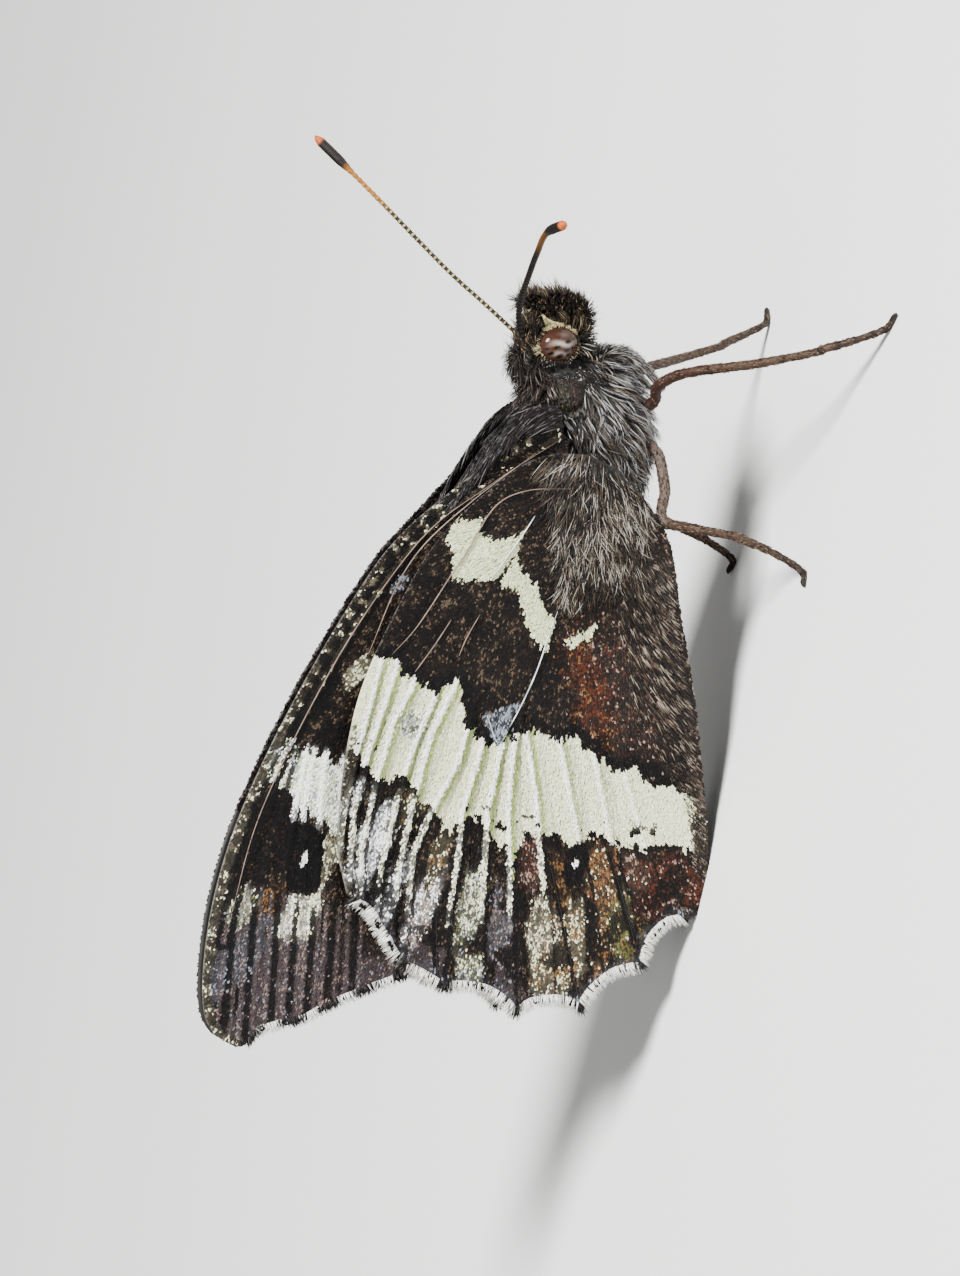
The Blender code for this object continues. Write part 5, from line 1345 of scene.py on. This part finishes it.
def makeFoldCoat(label, sign):
    # short strokes beside the anal edge that slant towards it, dark and grey in bands
    count = foldCoat["hairs"]
    edge = smoothLine([(9.0, 0.5), (5.8, 1.6), (-1.7, 4.8), (-6.6, 7.2)], 60)
    where = dice.random(count) ** 1.25
    place = alongLine(where, np.linspace(0, 1, 60), edge)
    run = unit(np.array((14.0, -6.7)))
    out = np.array((-run[1], run[0]))
    depth = dice.random(count) ** 1.3 * (0.9 + 2.2 * ease((where - 0.2) / 0.3))
    root = place + out * depth[:, None]
    lean = unit(run[None] - out[None] * (0.75 - 0.2 * depth[:, None]) + dice.normal(0, 0.12, (count, 2)))
    length = foldCoat["length"] * dice.uniform(0.6, 1.2, count)
    t = np.linspace(0, 1, 3)[None, :, None]
    flat = root[:, None] + lean[:, None] * t * length[:, None, None]
    keep = insideLine(flat[:, -1, 0], flat[:, -1, 1], hindLine[::2])
    flat, root, lean, length = flat[keep], root[keep], lean[keep], length[keep]
    count = len(root)
    lift = (length * 0.16)[:, None] * t[:, :, 0]
    wide = hindSide(flat[..., 0], flat[..., 1]) + 0.1 + lift
    paths = np.stack([sign * wide, flat[..., 0], flat[..., 1]], -1)
    level = 0.6 * dice.random(count) + 0.4 * softNoise(root[:, 0] * 2, root[:, 1] * 2, 0.7, 71)
    tint = fromLot([(166, 152, 136), (92, 75, 61), (30, 22, 18), (10, 8, 8)], (0.27, 0.42, 0.68),
                   level)
    across = wingAcross(lean)
    hairMesh("hindwingFoldCoat" + label, paths, across, foldCoat["width"], tint,
             wingUv("hind", root[:, 0], root[:, 1]))


for label, node, sign in sides:
    makeBaseCoat(label, sign)
    makeFoldCoat(label, sign)
print("wing base coats done")

# limbs: (side, back, up, radius) at each joint
legRows = {
    "midleg": [(0.7, -14.0, 9.8, 0.34), (1.5, -14.8, 9.3, 0.3), (2.5, -15.6, 9.6, 0.31),
               (3.8, -16.6, 8.6, 0.27), (6.5, -17.9, 5.7, 0.24), (7.9, -19.2, 3.1, 0.21),
               (8.1, -19.4, 2.9, 0.24), (9.0, -20.3, 1.45, 0.19),
               (9.7, -21.2, 0.26, 0.17), (10.3, -21.9, 0.17, 0.14), (10.5, -22.1, 0.12, 0.06)],
    "hindleg": [(0.7, -12.5, 8.9, 0.34), (1.5, -11.9, 8.3, 0.3), (2.3, -10.2, 7.8, 0.3),
                (3.2, -8.6, 7.8, 0.27), (4.0, -8.5, 6.1, 0.24), (4.6, -8.6, 4.2, 0.21),
                (4.7, -8.6, 4.0, 0.24), (5.3, -8.2, 1.9, 0.19), (5.8, -7.6, 0.26, 0.17),
                (6.2, -7.0, 0.17, 0.14), (6.35, -6.8, 0.12, 0.06)],
    "foreleg": [(0.6, -15.6, 12.6, 0.24), (0.95, -16.5, 12.6, 0.24), (1.15, -16.9, 11.6, 0.26),
                (1.2, -16.5, 10.4, 0.24), (1.1, -15.7, 9.2, 0.12), (1.05, -15.5, 8.9, 0.04)]}
limbHair = {"midleg": (2300, 0.24, 0.2, 0.055), "hindleg": (2300, 0.24, 0.2, 0.055),
            "foreleg": (2600, 0.75, 0.5, 0.045), "palp": (3400, 0.45, 0.8, 0.036),
            "bristle": (520, 0.7, 1.3, 0.055)}


def tubeFrames(path):
    # headings along the path, with a side and a rise that turn as little as they can
    heading = unit(np.gradient(path, axis=0))
    side = np.zeros_like(heading)
    first = np.cross(heading[0], (0.3, 0.2, 0.93))
    side[0] = first / np.linalg.norm(first)
    for index in range(1, len(path)):
        turned = side[index - 1] - heading[index] * np.dot(side[index - 1], heading[index])
        side[index] = turned / np.linalg.norm(turned)
    return heading, side, np.cross(heading, side)


def makeTube(name, rows, samples, columns, tintAt, radiusAt=None):
    # a ring of the path's own radius at each sample: place = path + side*r*cos + rise*r*sin
    line = smoothLine(rows, samples)
    path, radius = line[:, :3], np.maximum(line[:, 3], 0.02)
    share = np.linspace(0, 1, samples)
    if radiusAt is not None:
        radius = radiusAt(share, radius)
    heading, side, rise = tubeFrames(path)
    angle = np.arange(columns) / columns * 2 * np.pi
    points = (path[:, None] + side[:, None] * (radius[:, None] * np.cos(angle))[..., None]
              + rise[:, None] * (radius[:, None] * np.sin(angle))[..., None])
    points[..., 2] = np.maximum(points[..., 2], 0.002)
    tint = np.broadcast_to(tintAt(share[:, None], angle[None]), (samples, columns, 3))
    places = np.vstack([points.reshape(-1, 3), path[:1], path[-1:]])
    tint = np.vstack([tint.reshape(-1, 3), tint[0, :1], tint[-1, :1]])
    piece = buildPiece(name, places, gridQuads(samples, columns, True), capTris(samples, columns), tint)
    return piece, (path, radius, heading, side, rise)


def limbCoat(name, frameRows, hair, tintOf, lay, lift, away=None, together=0.6):
    # hairs all round a limb, or only where it faces away from a place; each leans out by its lift
    # and towards the limb's tip by its lay
    path, radius, heading, side, rise = frameRows
    count, first, last, width = hair
    where = dice.uniform(0.01, 0.97, count)
    pick = (where * (len(path) - 1)).astype(int)
    angle = dice.uniform(0, 2 * np.pi, count)
    normal = side[pick] * np.cos(angle)[:, None] + rise[pick] * np.sin(angle)[:, None]
    if away is not None:
        keep = np.sum(normal * unit(path[pick] - away), 1) > dice.uniform(-0.7, 0.3, count)
        pick, normal, where, angle = pick[keep], normal[keep], where[keep], angle[keep]
        count = len(pick)
    root = path[pick] + normal * (radius[pick] * 0.92)[:, None]
    size = (first + (last - first) * ease((where - 0.3) / 0.35)) * dice.uniform(0.5, 1.15, count)
    t = np.linspace(0, 1, 3)[None, :, None]
    lean = heading[pick] * lay + normal * lift + dice.normal(0, 0.14, (count, 3))
    paths = root[:, None] + unit(lean)[:, None] * t * size[:, None, None]
    paths = gather(paths, followers(root, 1 / 7), 0.1 * together, together)
    paths[..., 2] = np.maximum(paths[..., 2], 0.02)
    uv = np.stack([angle / (2 * np.pi), where], 1)
    hairMesh(name, paths, np.cross(normal, heading[pick]), width, tintOf(where, normal), uv)


def legTint(share, angle):
    # red-brown thigh, dusty shin and foot, darker in a thin ring at each joint
    stops = np.array([0.0, 0.25, 0.45, 0.75, 1.0])
    colours = np.array([rgb(36, 19, 12), rgb(52, 26, 15), rgb(66, 47, 31), rgb(60, 43, 29), rgb(26, 18, 14)])
    share = share + 0 * angle
    tint = alongLine(share, stops, colours)
    joints = np.abs(np.sin(np.clip(share - 0.72, 0, 1) * np.pi / 0.056)) < 0.25
    return tint * np.where(joints & (share > 0.72), 0.4, 1.0)[..., None]


def paleLegTint(share, angle):
    tint = legTint(share, angle)
    pale = ease((0.42 - share) / 0.08)[..., None] * np.ones_like(tint)
    return tint * (1 - pale) + rgb(82, 68, 60) * pale


def forelegTint(share, angle):
    return rgb(58, 48, 42) + 0 * (share + angle)[..., None]


def pickHair(colours, edges):
    # a function that gives each hair one of a few colours by a lot
    return lambda where, normal: fromLot(colours, edges, dice.random(len(where)))


def foreHairTint(where, normal):
    # dark speckled hair near the neck, pale hair beyond
    pale = (dice.random(len(where)) < ease((where - 0.2) / 0.12))[:, None]
    return np.where(pale, foreHairPale(where, normal), foreHairDark(where, normal))


legHairTint = pickHair([(132, 112, 94), (60, 38, 27), (16, 11, 9)], (0.22, 0.68))
foreHairPale = pickHair([(190, 189, 188), (108, 96, 86), (22, 17, 15)], (0.38, 0.72))
foreHairDark = pickHair([(176, 172, 162), (36, 28, 24), (8, 7, 7)], (0.1, 0.35))
bristleTint = pickHair([(150, 128, 96), (36, 26, 20), (6, 5, 5)], (0.14, 0.4))
palpHairTint = pickHair([(168, 146, 108), (66, 48, 34), (9, 7, 7)], (0.07, 0.42))


def jointed(share, radius):
    # five foot segments, each swelling a little towards its end
    foot = ease((share - 0.7) / 0.02)
    return radius * (1 + foot * 0.16 * (((share - 0.72) / 0.056) % 1 - 0.5))


headMiddle, chestMiddle = bodyPoint(-4.3, 0.6, 0.0), bodyPoint(-1.0, 0.5, 0.0)
palpShape = {"path": [(-0.3, -1.5), (-0.7, -2.0), (-1.5, -2.15), (-2.1, -1.6), (-2.35, -0.85), (-2.45, 0.0),
                      (-2.7, 0.7), (-3.05, 1.15)],
             "radius": [0.2, 0.24, 0.28, 0.34, 0.36, 0.34, 0.26, 0.08], "side": 0.62}
for label, node, sign in sides:
    for kind in ("midleg", "hindleg", "foreleg"):
        rows = [(sign * s, y, z, r) for s, y, z, r in legRows[kind]]
        tintAt = {"midleg": legTint, "hindleg": paleLegTint, "foreleg": forelegTint}[kind]
        piece, frames = makeTube(kind + label, rows, 150, 14, tintAt, jointed if kind != "foreleg" else None)
        piece.data.materials.append(limbFinish)
        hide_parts(kind + "_" + node)
        if kind == "foreleg":
            tintOf, away = foreHairTint, chestMiddle
        else:
            tintOf, away = legHairTint, None
        limbCoat(kind + label + "Coat", frames, limbHair[kind], tintOf, 1.0, 0.3, away)
    rows = [(*bodyPoint(-4.8 + a, 0.6 + u, sign * palpShape["side"]), r)
            for (a, u), r in zip(palpShape["path"], palpShape["radius"])]
    piece, frames = makeTube("palp" + label, rows, 60, 14,
                             lambda s, a: rgb(14, 11, 10) + 0 * (s + a)[..., None])
    piece.data.materials.append(limbFinish)
    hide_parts("palp_" + node)
    limbCoat("palp" + label + "Coat", frames, limbHair["palp"], palpHairTint, 0.3,
             1.0, headMiddle)
    limbCoat("palp" + label + "Bristles", frames, limbHair["bristle"], bristleTint, 0.45, 1.0,
             headMiddle, 0.1)
print("legs and palps done")

# antennae
antennaRows = {
    "Left": [(0.42, -16.3, 16.8), (0.6, -16.7, 17.4), (1.3, -17.8, 19.2), (2.1, -19.2, 21.6),
             (3.7, -22.4, 26.4), (4.98, -24.55, 29.7)],
    "Right": [(-0.5, -16.3, 17.0), (-0.85, -16.8, 17.5), (-1.8, -17.5, 18.05), (-3.2, -18.3, 18.55),
              (-6.2, -19.65, 19.3), (-9.0, -20.5, 20.0), (-12.0, -21.4, 20.65), (-14.8, -21.9, 20.6)]}


def antennaRadius(share, radius):
    # thin shaft of ringed joints that swells into a long club with a rounded end
    club = ease((share - 0.8) / 0.09)
    shaft = radius * (1 + 0.14 * np.cos(share * 46 * 2 * np.pi))
    end = np.sqrt(np.clip((1.0 - share) / 0.03, 0.02, 1))
    return (shaft + (0.27 - shaft) * club) * end


# the left antenna keeps its lit colours; the right one is coloured dark as painted shade of its shaded side
antennaLitAndShaded = {"Left": ((168, 152, 106), (34, 25, 13)), "Right": ((34, 24, 19), (8, 6, 5))}


def antennaTint(label):
    # a pale ring at each joint of a darker shaft, orange-yellow before and at the tip of the dark club; on
    # the right antenna the darker colours and weaker orange are painted shade
    pale, dim = [rgb(*colour) for colour in antennaLitAndShaded[label]]

    def tintAt(share, angle):
        share = share + 0 * angle
        ring = (np.cos(share * 46 * 2 * np.pi) > 0.55) & (share < 0.78)
        tint = np.where(ring[..., None], pale, dim)
        orange = (ease((share - 0.6) / 0.14) * ease((0.87 - share) / 0.04))[..., None]
        # less orange on the right antenna: painted shade
        orange = orange * (0.85 if label == "Left" else 0.3)
        tint = tint * (1 - orange) + rgb(150, 96, 22) * orange
        dark = (ease((share - 0.84) / 0.03) * ease((0.972 - share) / 0.015))[..., None]
        tint = tint * (1 - dark) + rgb(20, 11, 8) * dark
        tip = ease((share - 0.962) / 0.015)[..., None]
        return tint * (1 - tip) + rgb(176, 84, 34) * tip

    return tintAt


for label, node, sign in sides:
    rows = [(*p, 0.125 if label == "Left" else 0.155) for p in antennaRows[label]]
    piece, frames = makeTube("antenna" + label, rows, 420, 14, antennaTint(label), antennaRadius)
    piece.data.materials.append(limbFinish)
    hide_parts("antenna_" + node)
print("antennae done")

# eyes
# pale: the colour of the painted highlight streaks on the eye
eyeShape = {"place": (-5.0, 0.55, 1.2), "half": (0.72, 0.93, 1.09), "gloss": 0.12, "grid": (48, 72),
            "base": (56, 35, 26), "pale": (166, 148, 138), "dark": (5, 3, 2)}
eyeRing = {"hairs": 1500, "length": 0.4, "width": 0.04, "polar": (1.36, 1.9)}


def eyePoint(polar, turn, sign):
    # an egg: side = a*cos(polar), and a turned oval of half sizes b and c round it
    a, b, c = eyeShape["half"]
    along, up, side = eyeShape["place"]
    return bodyPoint(along + b * np.sin(polar) * np.cos(turn), up + c * np.sin(polar) * np.sin(turn),
                     sign * (side + a * np.cos(polar)))


def eyeTint(polar, turn):
    # warm brown with dark false pupils in two rows, each blurred at its edge, under pale streaks of painted
    # highlight across the middle
    p = np.sin(polar) * np.cos(turn)
    q = np.sin(polar) * np.sin(turn)
    tint = np.broadcast_to(rgb(*eyeShape["base"]), p.shape + (3,)).copy()
    # pale streaks across the middle of the eye: painted highlight
    highlightStreak = (0.5 + 0.5 * np.cos(p * 9 + 1.6 * np.sin(q * 3.4) + 0.4)) ** 1.5
    highlightStreak = highlightStreak * ease(1.15 - np.hypot(p - 0.1, q) * 1.3) * 0.85
    tint = tint * (1 - highlightStreak[..., None]) + rgb(*eyeShape["pale"]) * highlightStreak[..., None]
    spots = [(0.11, 0.25, 0.14), (0.36, 0.62, 0.13), (0.64, 0.2, 0.17), (0.42, -0.2, 0.13),
             (-0.05, -0.36, 0.16), (0.04, 0.76, 0.1), (0.38, -0.55, 0.13), (-0.1, -0.76, 0.1),
             (0.7, -0.22, 0.12)]
    for sp, sq, size in spots:
        spot = ease(1.5 - np.hypot((p - sp) * 1.25, (q - sq) * 0.85) / size)[..., None]
        tint = tint * (1 - spot) + rgb(*eyeShape["dark"]) * spot
    edge = ease((polar - 1.2) / 0.3)[..., None]
    return tint * (1 - edge) + rgb(24, 11, 8) * edge


def eyeMaterial():
    # glossy shell over the tint, with a fine net of facets in its bump
    material = bpy.data.materials.new("eyeShell")
    material.use_nodes = True
    nodes, links = material.node_tree.nodes, material.node_tree.links
    shader = nodes["Principled BSDF"]
    place, tint = nodes.new("ShaderNodeTexCoord"), nodes.new("ShaderNodeAttribute")
    facets, bump = nodes.new("ShaderNodeTexVoronoi"), nodes.new("ShaderNodeBump")
    tint.attribute_name = "tint"
    facets.inputs["Scale"].default_value = 14000.0
    facets.inputs["Randomness"].default_value = 0.35
    bump.inputs["Strength"].default_value = 0.07
    bump.inputs["Distance"].default_value = 0.00002
    links.new(place.outputs["Object"], facets.inputs["Vector"])
    links.new(facets.outputs["Distance"], bump.inputs["Height"])
    links.new(bump.outputs["Normal"], shader.inputs["Normal"])
    links.new(tint.outputs["Color"], shader.inputs["Base Color"])
    shader.inputs["Roughness"].default_value = eyeShape["gloss"]
    shader.inputs["Specular IOR Level"].default_value = 0.14
    shader.inputs["Coat Weight"].default_value = 0.1
    shader.inputs["Coat Roughness"].default_value = 0.04
    return material


eyeFinish = eyeMaterial()


def makeEye(label, node, sign):
    rows, columns = eyeShape["grid"]
    polar = np.linspace(0.03, np.pi - 0.03, rows)[:, None]
    turn = np.linspace(0, 2 * np.pi, columns, endpoint=False)[None]
    polar, turn = np.broadcast_arrays(polar, turn)
    points = eyePoint(polar, turn, sign).reshape(-1, 3)
    poles = eyePoint(np.array([0.0, np.pi]), np.array([0.0, 0.0]), sign)
    tint = eyeTint(polar, turn).reshape(-1, 3)
    tint = np.vstack([tint, tint[:1], tint[-1:]])
    piece = buildPiece("eye" + label, np.vstack([points, poles]), gridQuads(rows, columns, True),
                       capTris(rows, columns), tint)
    piece.data.materials.append(eyeFinish)
    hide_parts("eye_" + node)


def makeEyeRing(label, sign):
    # short scales round the eye's rim, lying away from its middle: cream in front, dark elsewhere
    count = eyeRing["hairs"]
    polar = dice.uniform(*eyeRing["polar"], count)
    turn = dice.uniform(0, 2 * np.pi, count)
    root = eyePoint(polar, turn, sign)
    middle = bodyPoint(*eyeShape["place"][:2], sign * eyeShape["place"][2])
    out = unit(root - middle)
    lean = unit(out + np.array((sign * 0.35, 0.0, 0.0)) + dice.normal(0, 0.32, (count, 3)))
    # cream brow in front and below, a small cream tuft above and another behind, dark elsewhere
    brow = ease((turn - 2.55) / 0.25) * ease((4.55 - turn) / 0.3)
    tufts = np.exp(-((turn - 1.55) / 0.28) ** 2) + 0.7 * np.exp(-((turn - 5.5) / 0.35) ** 2)
    length = eyeRing["length"] * dice.uniform(0.35, 1.2, count) * (0.7 + 0.1 * brow + 0.4 * tufts)
    along = unit(np.cross(np.array((sign, 0.0, 0.0)), out)) * dice.choice([-1.0, 1.0], count)[:, None]
    lean = unit(lean + along * (0.7 * brow * dice.uniform(0.0, 1.0, count))[:, None])
    t = np.linspace(0, 1, 3)[None, :, None]
    paths = (root - out * 0.05)[:, None] + lean[:, None] * t * length[:, None, None]
    paths[..., 0] -= sign * 0.5 * (t[..., 0] ** 2) * length[:, None] * 0.8
    cream = dice.random(count) < 0.04 + 0.66 * brow + 0.62 * tufts
    pick = dice.random(count)[:, None]
    tint = np.where(cream[:, None], rgb(196, 182, 136), np.where(pick < 0.3, rgb(62, 48, 34), rgb(10, 8, 8)))
    across = np.cross(lean, np.array((sign, 0.0, 0.0)))
    hairMesh("eye" + label + "Ring", paths, across, eyeRing["width"] * (1 + 0.3 * brow), tint,
             np.stack([turn / (2 * np.pi), 0.5 + 0 * turn], 1))


for label, node, sign in sides:
    makeEye(label, node, sign)
    makeEyeRing(label, sign)
print("eyes done")

# floor, light and camera
stage = {"half": 2.5, "floor": 0.86, "world": 0.27, "key": 9.8, "keySize": 0.17, "fill": 1.1,
         "elevation": 17.0, "roll": 76.5, "distance": 0.32, "lens": 165.66, "aim": (0.0023, 0.0, 0.01536)}


def makeFloor():
    mesh = bpy.data.meshes.new("floor")
    h, low = stage["half"], -0.00002
    mesh.from_pydata([(-h, -h, low), (h, -h, low), (h, h, low), (-h, h, low)], [], [(0, 1, 2, 3)])
    obj = bpy.data.objects.new("floor", mesh)
    bpy.context.scene.collection.objects.link(obj)
    material = bpy.data.materials.new("paleFloor")
    material.use_nodes = True
    shader = material.node_tree.nodes["Principled BSDF"]
    shader.inputs["Base Color"].default_value = (stage["floor"], stage["floor"], stage["floor"] * 0.985, 1)
    shader.inputs["Roughness"].default_value = 0.9
    mesh.materials.append(material)


def addLight(name, place, size, power):
    lamp = bpy.data.lights.new(name, "AREA")
    lamp.shape = "DISK"
    lamp.size = size
    lamp.energy = power
    obj = bpy.data.objects.new(name, lamp)
    bpy.context.scene.collection.objects.link(obj)
    aim = Vector(stage["aim"])
    obj.location = aim + Vector(place)
    obj.rotation_euler = (aim - obj.location).to_track_quat("-Z", "Y").to_euler()


def makeCamera():
    # the picture is rolled so that the animal climbs as in the photo, seen from its right side
    tip, roll = math.radians(stage["elevation"]), math.radians(stage["roll"])
    back = Vector((-math.cos(tip), 0.0, math.sin(tip)))
    right = Vector((0, 0, 1)).cross(back).normalized()
    up = back.cross(right)
    turnedRight = right * math.cos(roll) - up * math.sin(roll)
    turnedUp = right * math.sin(roll) + up * math.cos(roll)
    camera = bpy.data.cameras.new("camera")
    camera.lens = stage["lens"]
    camera.sensor_width = 36.0
    camera.clip_start = 0.01
    camera.clip_end = 20.0
    obj = bpy.data.objects.new("camera", camera)
    bpy.context.scene.collection.objects.link(obj)
    turn = Matrix((turnedRight, turnedUp, back)).transposed().to_4x4()
    obj.matrix_world = Matrix.Translation(Vector(stage["aim"]) + back * stage["distance"]) @ turn
    bpy.context.scene.camera = obj


makeFloor()
addLight("key", (-0.25, -0.17, 0.44), stage["keySize"], stage["key"])
addLight("fill", (-0.3, 0.35, 0.35), 0.5, stage["fill"])
world = bpy.data.worlds.new("studio")
world.use_nodes = True
world.node_tree.nodes["Background"].inputs["Color"].default_value = (1, 1, 1, 1)
world.node_tree.nodes["Background"].inputs["Strength"].default_value = stage["world"]
bpy.context.scene.world = world
makeCamera()
print("stage done")
